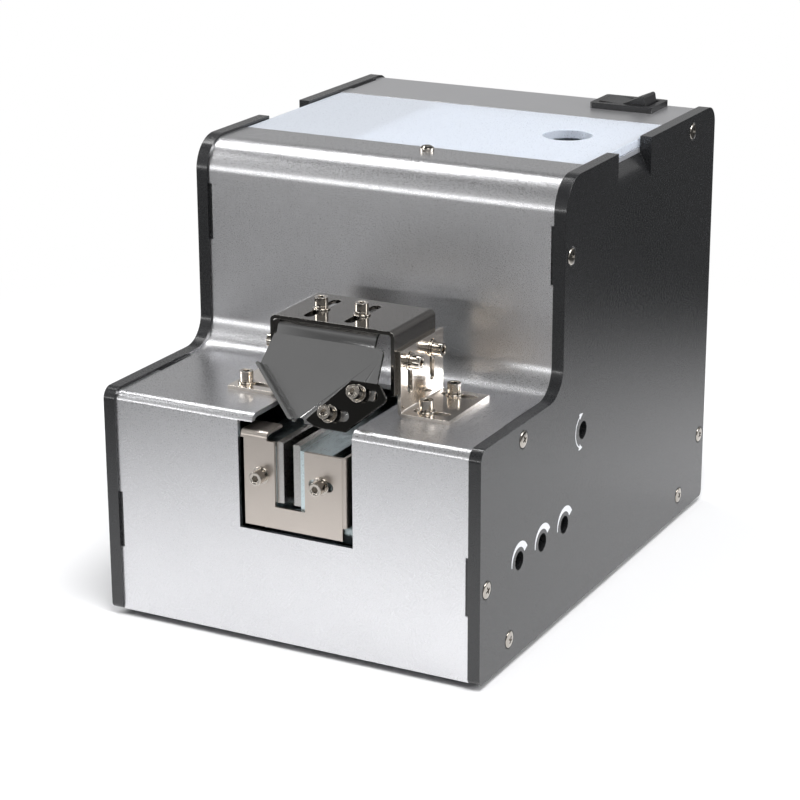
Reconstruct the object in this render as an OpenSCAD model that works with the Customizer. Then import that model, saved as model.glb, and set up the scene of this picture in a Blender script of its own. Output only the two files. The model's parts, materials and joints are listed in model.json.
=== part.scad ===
// Automatic screw feeder for a bench: a sheet-metal case with black side panels, a hopper with
// a scoop wheel and a brush roller, a vibrating screw track, and an adjustable bit guide at the exit.
// Millimetres. +X is to the right as seen from the front, +Y points to the back, +Z is up.
// The origin lies on the bench, below the middle of the whole feeder.
// In the comments, y counts from the front edge of the side panels.

/* [Case] */
// Width over both side panels
body_w = 130; // [126:1:150]
// Depth of the side panels
body_d = 181; // [179:1:200]
// Height of the side panels above the bench
body_h = 143.3; // [140:0.1:170]
// Height of the shelf edge of the side panels above the bench
shelf_h = 75.8; // [74:0.1:86]
// Depth of the shelf, from the front edge to the riser
shelf_d = 57.3; // [57:0.1:70]
// Thickness of a side panel
panel_t = 4; // [2.5:0.5:5]
// How far a side panel stands out beyond the cover
panel_proud = 0.8; // [0.4:0.1:1.5]
// Sheet thickness of the covers and of the base
sheet_t = 1.5; // [1:0.1:2]
// Outer bend radius between front and shelf
shelf_bend_r = 3; // [2.5:0.5:5]
// Inner bend radius between shelf and riser
step_bend_r = 10; // [5:0.5:14]
// Outer bend radius between riser and top
top_bend_r = 10; // [5:0.5:14]
// Outer bend radius between top and back
back_bend_r = 5.2; // [3:0.1:9]
// Radius of the lower corners of the side panels
panel_foot_r = 2; // [1:0.5:6]
// Depth of the top strip between riser and lid
top_strip_d = 23.9; // [22:0.1:30]
// Height of the base flanges
base_flange_h = 12; // [11:0.5:20]

/* [Feet and case screws] */
// Height of a rubber foot
foot_h = 2; // [1.5:0.5:6]
// Diameter of a rubber foot
foot_d = 12; // [8:1:18]
// Distance of a foot centre from the edges of the base
foot_inset = 13; // [10:1:20]
// Shank diameter of the case screws
case_screw_d = 3; // [2.5:0.5:3]
// Head diameter of the case screws
case_screw_head_d = 6; // [5:0.1:6.4]
// Length of the case screws
case_screw_l = 8; // [6.5:0.5:10]
// Length of a screw tab on the covers
tab_l = 18.5; // [14:0.5:20]
// Depth of a screw tab below the cover
tab_h = 10; // [9:0.5:14]
// Depth of the notch that a screw tab leaves in the cover edge
tab_notch = 1; // [0.6:0.1:1.6]

/* [Lid and hopper] */
// Depth of the top strip between lid and back
rear_strip_d = 35; // [33:0.5:40]
// Thickness of the lid
lid_t = 3; // [2:0.5:4]
// Diameter of the finger hole in the lid
lid_hole_d = 16; // [12:1:20]
// Sideways place of the finger hole
lid_hole_x = 38.2; // [30:0.1:44]
// Wall thickness of the hopper
hopper_t = 1.5; // [1:0.1:2]
// Length of the finger notch in a side panel
notch_l = 27; // [20:1:34]
// Depth of the finger notch
notch_h = 12.8; // [8:0.1:14]

/* [Power switch and inlet] */
// Length of the switch bezel
bezel_l = 22.5; // [21:0.1:24]
// Width of the switch bezel
bezel_w = 15.5; // [14:0.1:16]
// Sideways place of the switch
switch_x = 38.8; // [20:0.1:42]
// Distance of the switch from the back
switch_inset = 13.2; // [12:0.1:16]
// Rocking angle of the paddle from one side to the other
rocker_swing = 20; // [12:1:22]
// Sideways place of the power inlet
inlet_x = 40; // [20:1:44]
// Height of the power inlet above the base
inlet_h = 16; // [14:1:30]

/* [Window in the cover] */
// Left edge of the window in the front
window_x0 = -17; // [-19:0.1:-16.5]
// Left edge of the window in the shelf
shelf_window_x0 = -12; // [-14:0.1:-9]
// Right edge of the windows
window_x1 = 22.3; // [21.5:0.1:24]
// Depth of the window below the shelf
window_h = 37; // [36:0.1:39]
// Depth of the window in the shelf
window_d = 45; // [40:0.5:50]

/* [Screw track] */
// Sideways middle of the screw track
track_x = 0.3; // [0:0.1:0.6]
// Gap between the rails
rail_gap = 3.4; // [2:0.1:4.5]
// Thickness of a rail
rail_t = 2.5; // [2:0.1:2.8]
// Height of a rail
rail_h = 19.5; // [17:0.1:21]
// Length of a rail
rail_l = 138; // [120:1:140]
// Depth of the rail tops below the shelf
rail_drop = 7.5; // [7:0.1:9]
// Width of a rail block
block_w = 10.8; // [10:0.1:11]
// Length of a rail block
block_l = 73; // [71:1:76]
// Height of a rail block
block_h = 24; // [23:0.1:26]
// Narrowest and widest gap that the gate screw sets
gate_gap = [1, 5]; // [0.5:0.1:6]
// Diameter of the gate screw
gate_screw_d = 4; // [3:0.5:4]
// Distance of the gate screw from the front
gate_screw_y = 73.2; // [72:0.1:74]
// Depth of the gate screw below the rail tops
gate_screw_drop = 7.6; // [5:0.1:12]
// Diameter of the two guide pins
guide_pin_d = 3; // [2:0.5:3]

/* [Exit plate] */
// Left edge of the exit plate
exit_x0 = -14.5; // [-15:0.1:-14.3]
// Right edge of the exit plate
exit_x1 = 20.5; // [19.5:0.1:21]
// Thickness of the exit plate
exit_t = 1; // [0.8:0.1:1.2]
// Height of the exit plate below the rail tops
exit_drop = 27.5; // [26.5:0.1:28]
// Height of the left half above the rail tops
exit_rise = 2.7; // [2:0.1:3]
// Length of the top tab
exit_tab_l = 9.5; // [6:0.5:11]
// Right edge of the slot in the exit plate
exit_slot_x1 = 6.5; // [6.2:0.1:6.8]

/* [Vibration drive] */
// Lean of the leaf springs
spring_lean = 10; // [6:1:12]
// Thickness of a leaf spring
spring_t = 0.8; // [0.5:0.1:1]
// Width of a leaf spring
spring_w = 24; // [18:1:26]
// Height of the rail carrier
carrier_h = 8; // [7:0.5:9]
// Height of the spring base
spring_base_h = 8; // [7:0.5:9]
// Air gap between the magnet and its armature
air_gap = 1.2; // [1:0.1:1.6]
// Height of the rubber isolators under the spring base
isolator_h = 3; // [2:0.5:4]

/* [Hood] */
// Left side of the hood
hood_x0 = -14.5; // [-15:0.1:-13.5]
// Width of the hood
hood_w = 42.5; // [41:0.1:44]
// Distance of the hood from the front
hood_y = 17; // [16:0.5:19]
// Depth of the hood
hood_d = 27; // [25:0.5:30]
// Height of the hood top above the shelf
hood_top = 27; // [26:0.1:28]
// Height of a hood wall
hood_wall_h = 20; // [18:0.5:22]
// Sheet thickness of the hood and its brackets
hood_t = 1.2; // [1:0.1:1.5]
// Height of a hood bracket
bracket_h = 20.6; // [20:0.1:22]
// Width of a bracket foot
bracket_foot_w = 17; // [16:0.1:18]
// Depth of a hood bracket
bracket_d = 28; // [26:0.5:30]
// Distance of the brackets from the front
bracket_y = 19; // [18:0.5:20]

/* [Bit guide] */
// Lean of the bit guide from the vertical
guide_lean = 26.57; // [22:0.5:30]
// Sheet thickness of the bit guide
guide_t = 1; // [0.8:0.1:1.2]
// Thickness of the guide jaw
jaw_t = 1.2; // [1:0.1:1.5]
// Height of the folded lip of the bit guide
lip_h = 3; // [2:0.1:4]
// Distance of the two top screws from the front
guide_screw_y = 28.7; // [27:0.1:30]

/* [Small screws] */
// Shank diameter of the small cap screws
cap_d = 2.5; // [2:0.1:2.6]
// Head diameter of the small cap screws
cap_head_d = 4.6; // [4.2:0.1:5]
// Head height of the small cap screws
cap_head_h = 2.6; // [2.2:0.1:3]
// Diameter of their flat washers
washer_d = 6; // [5.4:0.1:6.4]
// Thickness of their flat washers
washer_t = 0.5; // [0.4:0.1:0.8]
// Thickness of their spring washers
spring_washer_t = 0.8; // [0.6:0.1:1]

/* [Scoop wheel and brush] */
// Radius of the scoop wheel
wheel_r = 24; // [22:0.5:24]
// Width of the scoop wheel
wheel_w = 13.5; // [10:0.5:13.5]
// Number of scoops
scoop_count = 6; // [4:1:8]
// Radius of the brush roller
brush_r = 10; // [8:0.5:10]
// Number of bristle rows
bristle_rows = 10; // [6:1:12]
// Gear module
gear_module = 1; // [0.9:0.05:1]
// Teeth of the wheel gear
wheel_teeth = 42; // [42:1:42]
// Teeth of the brush gear
brush_teeth = 21; // [21:1:21]
// Width of the gears
gear_w = 4; // [3:0.5:4]
// Diameter of the wheel shaft
wheel_shaft_d = 5; // [4:0.5:6]
// Diameter of the brush shaft
brush_shaft_d = 4; // [3:0.5:5]

/* [Control board] */
// Diameter of the adjuster holes in the right panel
adjuster_hole_d = 5.8; // [5:0.1:6.5]
// Diameter of a trimmer rotor
rotor_d = 4.6; // [4:0.1:4.8]
// Distance of the first adjuster from the front
adjuster_y = 27; // [25:0.1:28]
// Spacing of the adjusters
adjuster_pitch = 16.6; // [15:0.1:17]
// Height of the adjusters above the bench
adjuster_z = 32.6; // [30:0.1:34]
// Thickness of the circuit board
board_t = 1.6; // [1:0.1:2]

/* [Hidden] */
$fn = 48;

// Clearances
fit = 0.05;            // a shaft, pin or screw in its bore, all round
slide_fit = 0.15;      // flat faces that slide on each other
loose = 0.3;           // parts that move freely past each other
eps = 0.01;            // overlap of cuts, so that they leave no skin

// Case levels and planes
inner_x = body_w / 2 - panel_t;                 // inner face of a side panel
cover_front = panel_proud;                      // outer face of the front
cover_shelf = shelf_h - panel_proud;            // upper face of the shelf
cover_riser = shelf_d + panel_proud;            // outer face of the riser
cover_top = body_h - panel_proud;               // upper face of the top
cover_back = body_d - panel_proud;              // outer face of the back
base_z = foot_h;                                // lower face of the base
base_top = base_z + sheet_t;                    // upper face of the base
lid_y0 = cover_riser + top_strip_d;             // front edge of the lid opening
lid_y1 = body_d - rear_strip_d;                 // back edge of the lid opening
lid_z = cover_top - lid_t;                      // seat of the lid
cap_stack = washer_t + spring_washer_t + cap_head_h;
y_mid = (body_d - cap_stack) / 2;               // the exit screws stand out at the front

// Case screw places on a side panel, as [y, z]
screw_front = [4.6, 31.4];
screw_shelf = [29, cover_shelf - 4.3];
screw_riser = [cover_riser + 3.9, 118.8];
screw_top = [body_d - 20.5, cover_top - 4.5];
screw_back = [cover_back - sheet_t - 2, 26.1];
screw_base = [[20.6, base_top + 5.8], [body_d - 22.5, base_top + 5.8]];
case_screws = [screw_front, screw_shelf, screw_riser, screw_top, screw_back, screw_base[0], screw_base[1]];
tab_relief = 0.6;                               // a screw tab is shorter than its notch by this at each end
tab_front_z = 32.8;
tab_shelf_y = 34.3;
tab_riser_z = 119.4;
tab_top_y = body_d - 18.5;
tab_back_z = 27;
cover_screw_at = [8, cover_riser + top_strip_d - 4.6];

// Screw track
rail_top = cover_shelf - rail_drop;
rail_y0 = 1.3;
rail_left_x = track_x - rail_gap / 2;           // inner face of the left rail
rail_right_x = track_x + rail_gap / 2;          // inner face of the right rail
block_y0 = exit_t;
block_top = rail_top - 1.5;
block_z = block_top - block_h;
guide_pin_z = block_z + 3;
guide_pin_y = [12, 62];
gate_screw_z = rail_top - gate_screw_drop;
gate_travel = [gate_gap[0] - rail_gap, gate_gap[1] - rail_gap];
block_right_x1 = rail_right_x + rail_t + block_w;
lug_x0 = block_right_x1 + gate_travel[1] + 3;
lug_w = 5;
lug_l = 7;
gate_head_d = 5.4;
gate_head_l = 3;
gate_collar_t = 1.2;
gate_tip_x = rail_right_x + rail_t + gate_travel[1] + 3.2;
gate_bore_depth = block_w - 2;

// Exit plate
exit_z0 = rail_top - exit_drop;
exit_left_z1 = rail_top + exit_rise;
exit_right_z1 = block_top + 0.3;
exit_slot_z = rail_top - rail_h - 1;
exit_screw_z = rail_top - 11;
exit_screw_left_x = -8.5;
exit_screw_right_x = 12.1;
exit_screw_l = 9;

// Vibration drive
carrier_z = block_z - carrier_h;
spring_base_z = base_top + isolator_h;
spring_foot_y = 7;                              // front spring face at the level of the base
spring_span = 61;                               // distance between the spring faces
clamp_t = 2;
clamp_h = 6;
carrier_x0 = -15;
carrier_x1 = 18;
spring_base_x = 20;
magnet_y = 34;
magnet_l = 18;
magnet_w = 22;
magnet_gap = 4.5;                               // free height above the magnet
spring_base_top = spring_base_z + spring_base_h;
magnet_h = carrier_z - spring_base_top - magnet_gap;
armature_t = 3;

// Hood, brackets and bit guide
hood_x1 = hood_x0 + hood_w;
hood_z1 = cover_shelf + hood_top;
hood_z0 = hood_z1 - hood_wall_h;
hood_mid = (hood_x0 + hood_x1) / 2;
hood_bend = 1.4;
hood_screw_y = [25, 39.5];
hood_screw_z = cover_shelf + 16;
hood_slot_z = [cover_shelf + 7.5, cover_shelf + 18.6];
hood_slot_w = cap_d + 0.6;
bracket_bend = 1.2;
bracket_screw_y = [24, 42.5];
bracket_screw_right_x = 35.2;
bracket_screw_left_x = -27.6;
bracket_slot = [3, 15];                         // from the hood wall outwards
guide_screw_x = [-3.2, 10.8];
guide_slot_y = [21, 38];
guide_top = hood_z1 - hood_t;                   // upper face of the guide flange
guide_pivot = [hood_y, guide_top - 2.8];        // [y, z] where the guide plane starts
guide_flange_y1 = 34;
guide_x0 = -12.5;
guide_x1 = 25;
guide_bend_r = 3;
jaw_slots = [[20.2, 16], [12.2, 23.4]];         // [x, distance down the guide] of the jaw screws
jaw_slot_l = 5;
nut_af = 5;
nut_t = 2;

// Scoop wheel, brush and drive
centre_distance = gear_module * (wheel_teeth + brush_teeth) / 2;
wheel_at = [lid_y0 + 37, rail_top - 7.5];       // [y, z]
brush_z = rail_top + 3 + brush_r;
brush_at = [wheel_at[0] - sqrt(pow(centre_distance, 2) - pow(brush_z - wheel_at[1], 2)), brush_z];
mesh_angle = atan2(brush_at[1] - wheel_at[1], brush_at[0] - wheel_at[0]);
pressure_angle = 20;
tooth_play = 0.06;                              // share of a tooth's thickness left as play
wheel_x1 = -8.5;
wheel_x0 = wheel_x1 - wheel_w;
hopper_x0 = -23.5;
hopper_x1 = inner_x - 3;
hopper_y0 = lid_y0 + 2;
hopper_y1 = lid_y1 - 1;
trough_r = wheel_r + 1.2;
trough_x1 = -6;
gear_x0 = hopper_x0 - hopper_t - 0.8 - gear_w;
plate_t = 2;
plate_x0 = gear_x0 - 0.8 - plate_t;
brush_w = 14;
bush_wall = 1.5;
bush_flange_t = 1;
motor_gap = 3.9;                                // between the motor and the left panel
motor_can_d = inner_x + plate_x0 - 0.5 - motor_gap;

// Control board
board_x = inner_x - 11.4;                       // outer face of the board
board_y = [18, 68];
board_z = [base_top + 6, 46];
board_gap = 3;
rotor_x = inner_x - 0.8;                        // outer face of a rotor
trimmer_l = 6.4;
adjusters = [for (i = [0:2]) [adjuster_y + i * adjuster_pitch, adjuster_z]];

// ---------------------------------------------------------------- plane shapes

function unit(v) = v / norm(v);
function turn(a, b, c) =
    let (p = b - a, q = c - b) atan2(p[0] * q[1] - p[1] * q[0], p[0] * q[0] + p[1] * q[1]);
function setback(a, b, c, r) = r * abs(tan(turn(a, b, c) / 2));
function left_of(d) = [-d[1], d[0]];

// Centre of the arc of radius r that rounds corner b between a and c
function arc_centre(a, b, c, r) =
    b - unit(b - a) * setback(a, b, c, r) + left_of(unit(b - a)) * r * sign(turn(a, b, c));

// Closed outline with each corner rounded by its own radius, counterclockwise
module rounded_outline(points, radii) {
    n = len(points);
    difference() {
        union() {
            polygon([for (i = [0:n - 1])
                let (a = points[(i + n - 1) % n], b = points[i], c = points[(i + 1) % n],
                     s = setback(a, b, c, radii[i]))
                each (radii[i] > 0 ? [b - unit(b - a) * s, b + unit(c - b) * s] : [b])]);
            for (i = [0:n - 1])
                if (turn(points[(i + n - 1) % n], points[i], points[(i + 1) % n]) > 0)
                    corner_disc(points[(i + n - 1) % n], points[i], points[(i + 1) % n], radii[i]);
        }
        for (i = [0:n - 1])
            if (turn(points[(i + n - 1) % n], points[i], points[(i + 1) % n]) < 0)
                corner_disc(points[(i + n - 1) % n], points[i], points[(i + 1) % n], radii[i]);
    }
}

// The part of a corner's disc that lies between its chord and its corner
module corner_disc(a, b, c, r) {
    if (r > 0)
        intersection() {
            translate(arc_centre(a, b, c, r)) circle(r);
            polygon([b - unit(b - a) * setback(a, b, c, r), b, b + unit(c - b) * setback(a, b, c, r)]);
        }
}

// Ring sector of middle radius r and thickness t
module arc_band(r, t, start, sweep) {
    reach = 2 * (r + t);
    intersection() {
        difference() {
            circle(r + t / 2);
            circle(r - t / 2);
        }
        polygon([[0, 0], for (i = [0:3]) reach * [cos(start + sweep * i / 3), sin(start + sweep * i / 3)]]);
    }
}

// Section of a bent sheet of thickness t along its middle line, with a bend at each inner corner
module bent_sheet(path, radii, t) {
    n = len(path);
    for (i = [0:n - 2]) {
        d = unit(path[i + 1] - path[i]);
        s0 = i == 0 ? 0 : setback(path[i - 1], path[i], path[i + 1], radii[i - 1]);
        s1 = i == n - 2 ? 0 : setback(path[i], path[i + 1], path[i + 2], radii[i]);
        p = path[i] + d * s0;
        q = path[i + 1] - d * s1;
        side = left_of(d) * t / 2;
        polygon([p - side, q - side, q + side, p + side]);
    }
    for (i = [1:n - 2]) {
        centre = arc_centre(path[i - 1], path[i], path[i + 1], radii[i - 1]);
        d = unit(path[i] - path[i - 1]);
        start = path[i] - d * setback(path[i - 1], path[i], path[i + 1], radii[i - 1]) - centre;
        translate(centre)
            arc_band(radii[i - 1], t, atan2(start[1], start[0]), turn(path[i - 1], path[i], path[i + 1]));
    }
}

// Slot with round ends from a to b
module slot_2d(a, b, w) {
    side = left_of(unit(b - a)) * w / 2;
    polygon([a - side, b - side, b + side, a + side]);
    translate(a) circle(w / 2);
    translate(b) circle(w / 2);
}

// ---------------------------------------------------------------- placing

// Moves what is drawn with y from the front edge into the frame of the part
module from_front() {
    translate([0, -y_mid, 0]) children();
}

// Extrudes a [y, z] section from x0 to x1
module along_x(x0, x1) {
    translate([x0, 0, 0]) rotate([90, 0, 90]) linear_extrude(x1 - x0) children();
}

// Extrudes an [x, z] section from y0 to y1
module along_y(y0, y1) {
    translate([0, y1, 0]) rotate([90, 0, 0]) linear_extrude(y1 - y0) children();
}

// Box between two corners
module block(low, high) {
    translate(low) cube(high - low);
}

// Round bar along X, from x0 to x1, at [y, z]
module bar_x(x0, x1, at, d) {
    translate([x0, at[0], at[1]]) rotate([0, 90, 0]) cylinder(d = d, h = x1 - x0);
}

// Round bar along Y, from y0 to y1, at [x, z]
module bar_y(y0, y1, at, d) {
    translate([at[0], y0, at[1]]) rotate([-90, 0, 0]) cylinder(d = d, h = y1 - y0);
}

// Left and right copy of a piece about the middle of the case
module both_sides() {
    children();
    mirror([1, 0, 0]) children();
}

// ---------------------------------------------------------------- fasteners

// Cap screw standing on a surface at z = 0, with its washers, its shank below
module cap_screw(l) {
    difference() {
        cylinder(d = washer_d, h = washer_t);
        translate([0, 0, -eps]) cylinder(d = cap_d + 2 * fit, h = washer_t + 2 * eps);
    }
    translate([0, 0, washer_t]) difference() {
        cylinder(d = cap_head_d, h = spring_washer_t);
        translate([0, 0, -eps]) cylinder(d = cap_d + 2 * fit, h = spring_washer_t + 2 * eps);
        // The split of the spring washer
        translate([0, -0.2, -eps]) cube([cap_head_d, 0.4, spring_washer_t + 2 * eps]);
    }
    difference() {
        union() {
            translate([0, 0, washer_t + spring_washer_t]) cylinder(d = cap_head_d, h = cap_head_h);
            translate([0, 0, -l]) cylinder(d = cap_d, h = l + cap_stack - cap_head_h + eps);
        }
        translate([0, 0, cap_stack - cap_head_h * 0.55])
            cylinder(d = cap_head_d * 0.5, h = cap_head_h, $fn = 6);
    }
}

// Hexagon nut with its upper face at z = 0
module hex_nut() {
    translate([0, 0, -nut_t]) difference() {
        cylinder(d = nut_af / cos(30), h = nut_t, $fn = 6);
        translate([0, 0, -eps]) cylinder(d = cap_d + 2 * fit, h = nut_t + 2 * eps);
    }
}

// Countersunk case screw with its head at x = 0 and its shank towards -X
module case_screw() {
    head_h = (case_screw_head_d - case_screw_d) / 2;
    rotate([0, -90, 0]) difference() {
        union() {
            cylinder(d1 = case_screw_head_d, d2 = case_screw_d, h = head_h);
            cylinder(d = case_screw_d, h = case_screw_l);
            translate([0, 0, -0.5]) cylinder(d1 = case_screw_head_d * 0.66, d2 = case_screw_head_d, h = 0.5);
        }
        for (a = [0, 90])
            rotate(a) translate([-1.6, -0.35, -0.5 - eps]) cube([3.2, 0.7, 1.6]);
    }
}

// Bore for a case screw, with its countersink, through a panel whose outer face is at x = 0
module case_screw_bore() {
    head_h = (case_screw_head_d - case_screw_d) / 2;
    rotate([0, -90, 0]) {
        translate([0, 0, -eps]) cylinder(d = case_screw_d + 2 * fit, h = case_screw_l + 2);
        translate([0, 0, -fit])
            cylinder(d1 = case_screw_head_d + 4 * fit, d2 = case_screw_d + 2 * fit, h = head_h + fit);
    }
}

// ---------------------------------------------------------------- case

module panel_outline() {
    rounded_outline(
        [[0, base_z], [body_d, base_z], [body_d, body_h], [shelf_d, body_h], [shelf_d, shelf_h], [0, shelf_h]],
        [panel_foot_r, panel_foot_r, back_bend_r + panel_proud, top_bend_r + panel_proud,
         step_bend_r - panel_proud, shelf_bend_r + panel_proud]);
}

// Finger notch, cut deeper at the outer face than at the inner one
module finger_notch() {
    y0 = lid_y0 + 15;
    along_y(y0, y0 + notch_l)
        polygon([[inner_x - eps, cover_top - 4.5], [inner_x + panel_t + eps, body_h - notch_h],
                 [inner_x + panel_t + eps, body_h + 1], [inner_x - eps, body_h + 1]]);
}

// Inward tongues of the panel that fill the notches of the covers
module panel_tongues() {
    x0 = inner_x - tab_notch;
    half = (tab_l - loose) / 2;
    low = 0.1;                                  // they lie this much lower than the cover
    depth = sheet_t;
    block([x0, cover_front + low, tab_front_z - half], [inner_x + eps, cover_front + depth, tab_front_z + half]);
    block([x0, tab_shelf_y - half, cover_shelf - depth], [inner_x + eps, tab_shelf_y + half, cover_shelf - low]);
    block([x0, cover_riser + low, tab_riser_z - half], [inner_x + eps, cover_riser + depth, tab_riser_z + half]);
    block([x0, tab_top_y - half, cover_top - depth], [inner_x + eps, tab_top_y + half, cover_top - low]);
    block([x0, cover_back - depth, tab_back_z - half], [inner_x + eps, cover_back - low, tab_back_z + half]);
}

module side_panel() {
    difference() {
        union() {
            along_x(inner_x, inner_x + panel_t) panel_outline();
            panel_tongues();
        }
        for (at = case_screws)
            translate([inner_x + panel_t, at[0], at[1]]) case_screw_bore();
        finger_notch();
    }
}

module side_panel_right() {
    color("#2b2b2d") from_front() difference() {
        side_panel();
        for (at = adjusters)
            bar_x(inner_x - 1, inner_x + panel_t + 1, at, adjuster_hole_d);
        bar_x(inner_x - 1, inner_x + panel_t + 1, [gate_screw_y, gate_screw_z], adjuster_hole_d);
    }
}

module side_panel_left() {
    color("#2b2b2d") from_front() mirror([1, 0, 0]) side_panel();
}

module side_screws() {
    for (at = case_screws)
        translate([inner_x + panel_t, at[0], at[1]]) case_screw();
}

module side_screws_right() {
    color("silver") from_front() side_screws();
}

module side_screws_left() {
    color("silver") from_front() mirror([1, 0, 0]) side_screws();
}

// Bores in the right-hand screw tabs and flanges
module tab_bores() {
    for (at = case_screws)
        bar_x(inner_x - sheet_t - 1, inner_x + 1, at, case_screw_d + 2 * fit);
}

// Notches in the right-hand cover edge, above the screw tabs
module cover_notches() {
    x0 = inner_x - tab_notch - slide_fit;
    half = tab_l / 2;
    block([x0, -1, tab_front_z - half], [inner_x + 1, cover_front + sheet_t, tab_front_z + half]);
    block([x0, tab_shelf_y - half, cover_shelf - sheet_t], [inner_x + 1, tab_shelf_y + half, cover_shelf + 1]);
    block([x0, cover_riser - 1, tab_riser_z - half], [inner_x + 1, cover_riser + sheet_t, tab_riser_z + half]);
    block([x0, tab_top_y - half, cover_top - sheet_t], [inner_x + 1, tab_top_y + half, cover_top + 1]);
    block([x0, cover_back - sheet_t, tab_back_z - half], [inner_x + 1, cover_back + 1, tab_back_z + half]);
}

module front_cover() {
    m = sheet_t / 2;
    half = tab_l / 2 - tab_relief;
    y1 = cover_front + sheet_t;
    z1 = cover_shelf - sheet_t;
    y2 = cover_riser + sheet_t;
    bend_z = cover_shelf - shelf_bend_r + 0.6;  // the narrower shelf window starts in the bend
    color("#cfd1d6") from_front() difference() {
        union() {
            along_x(-inner_x, inner_x)
                bent_sheet(
                    [[cover_front + m, base_z + loose], [cover_front + m, cover_shelf - m],
                     [cover_riser + m, cover_shelf - m], [cover_riser + m, cover_top - m], [lid_y0, cover_top - m]],
                    [shelf_bend_r - m, step_bend_r + m, top_bend_r - m], sheet_t);
            both_sides() {
                block([inner_x - sheet_t, y1 - eps, tab_front_z - half], [inner_x, y1 + tab_h, tab_front_z + half]);
                block([inner_x - sheet_t, tab_shelf_y - half, z1 - tab_h], [inner_x, tab_shelf_y + half, z1 + eps]);
                block([inner_x - sheet_t, y2 - eps, tab_riser_z - half], [inner_x, y2 + tab_h, tab_riser_z + half]);
            }
        }
        both_sides() {
            cover_notches();
            tab_bores();
        }
        // Windows for the exit and the bit guide
        block([window_x0, -1, cover_shelf - window_h], [window_x1, shelf_bend_r + 2, bend_z + eps]);
        block([shelf_window_x0, -1, bend_z], [window_x1, window_d, cover_shelf + 1]);
        // Bores for the bracket screws and the cover screw
        for (y = bracket_screw_y, x = [bracket_screw_left_x, bracket_screw_right_x])
            translate([x, y, cover_shelf - 5]) cylinder(d = cap_d + 2 * fit, h = 10);
        translate([cover_screw_at[0], cover_screw_at[1], cover_top - 5]) cylinder(d = cap_d + 2 * fit, h = 10);
    }
}

module rear_cover() {
    half = tab_l / 2 - tab_relief;
    y1 = cover_back - sheet_t;
    z1 = cover_top - sheet_t;
    color("#8f9194") from_front() difference() {
        union() {
            along_x(-inner_x, inner_x)
                bent_sheet(
                    [[lid_y1, cover_top - sheet_t / 2], [cover_back - sheet_t / 2, cover_top - sheet_t / 2],
                     [cover_back - sheet_t / 2, base_z + loose]],
                    [back_bend_r - sheet_t / 2], sheet_t);
            both_sides() {
                block([inner_x - sheet_t, tab_top_y - half, z1 - tab_h], [inner_x, tab_top_y + half, z1 + eps]);
                block([inner_x - sheet_t, y1 - tab_h, tab_back_z - half], [inner_x, y1 + eps, tab_back_z + half]);
            }
        }
        both_sides() {
            cover_notches();
            tab_bores();
        }
        // Cutout for the switch
        translate([switch_x, body_d - switch_inset, z1 - 1]) linear_extrude(sheet_t + 2)
            square([bezel_l - 3, bezel_w - 2.6], center = true);
        // Hole for the power inlet
        bar_y(y1 - 1, cover_back + 1, [inlet_x, base_top + inlet_h], 8 + 2 * fit);
    }
}

module base_plate() {
    x = inner_x - sheet_t / 2;
    y0 = cover_front + sheet_t;
    y1 = cover_back - sheet_t;
    color("#3a3c3f") from_front() difference() {
        along_y(y0, y1)
            bent_sheet([[-x, base_top + base_flange_h], [-x, base_z + sheet_t / 2], [x, base_z + sheet_t / 2],
                        [x, base_top + base_flange_h]], [2, 2], sheet_t);
        both_sides() tab_bores();
        // The flanges stop short of the screw tabs of the covers
        both_sides() {
            block([inner_x - sheet_t - 1, y0 - 1, base_top + 3], [inner_x + 1, y0 + tab_h + 2, base_z + 30]);
            block([inner_x - sheet_t - 1, y1 - tab_h - 2, base_top + 3], [inner_x + 1, y1 + 1, base_z + 30]);
        }
    }
}

module rubber_feet() {
    color("#1b1b1b") from_front()
        for (sx = [-1, 1], y = [foot_inset, body_d - foot_inset])
            translate([sx * (inner_x - foot_inset), y, 0]) cylinder(d1 = foot_d - 1, d2 = foot_d, h = foot_h);
}

module cover_screw() {
    color("silver") from_front()
        translate([cover_screw_at[0], cover_screw_at[1], cover_top]) difference() {
            union() {
                cylinder(d = 4.6, h = 1);
                translate([0, 0, 1]) cylinder(d1 = 4.6, d2 = 3, h = 0.6);
                translate([0, 0, -4]) cylinder(d = cap_d, h = 4 + eps);
            }
            for (a = [0, 90]) rotate(a) translate([-1.2, -0.25, 0.7]) cube([2.4, 0.5, 1.2]);
        }
}

// ---------------------------------------------------------------- lid and hopper

module hopper_lid() {
    lip = 1.5;
    gap = 0.5;
    y_hole = (lid_y0 + lid_y1) / 2 + 4;
    color("#dde4f0") from_front() difference() {
        union() {
            block([-inner_x + loose, lid_y0 + loose, lid_z], [inner_x - loose, lid_y1 - loose, cover_top]);
            // The rim below keeps the lid in the mouth of the hopper
            difference() {
                block([hopper_x0 + gap, hopper_y0 + gap, lid_z - 3], [hopper_x1 - gap, hopper_y1 - gap, lid_z + eps]);
                block([hopper_x0 + gap + lip, hopper_y0 + gap + lip, lid_z - 4],
                      [hopper_x1 - gap - lip, hopper_y1 - gap - lip, lid_z + 2 * eps]);
            }
        }
        translate([lid_hole_x, y_hole, lid_z - 1]) cylinder(d = lid_hole_d, h = lid_t + 2);
    }
}

// Room inside the hopper, or its outside when grown by the wall: chamber, floor wedge and wheel trough
module hopper_room(g) {
    floor_z = wheel_at[1] + 4;
    slope_z = wheel_at[1] - 18;
    block([hopper_x0 - g, hopper_y0 - g, floor_z - g], [hopper_x1 + g, hopper_y1 + g, lid_z + (g > 0 ? 0 : 1)]);
    along_y(hopper_y0 - g, hopper_y1 + g)
        polygon([[hopper_x0 - g, slope_z - g], [trough_x1, slope_z - g], [hopper_x1 + g, floor_z - g],
                 [hopper_x1 + g, floor_z + 1], [hopper_x0 - g, floor_z + 1]]);
    bar_x(hopper_x0 - g, trough_x1 + g, wheel_at, 2 * (trough_r + g));
}

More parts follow.
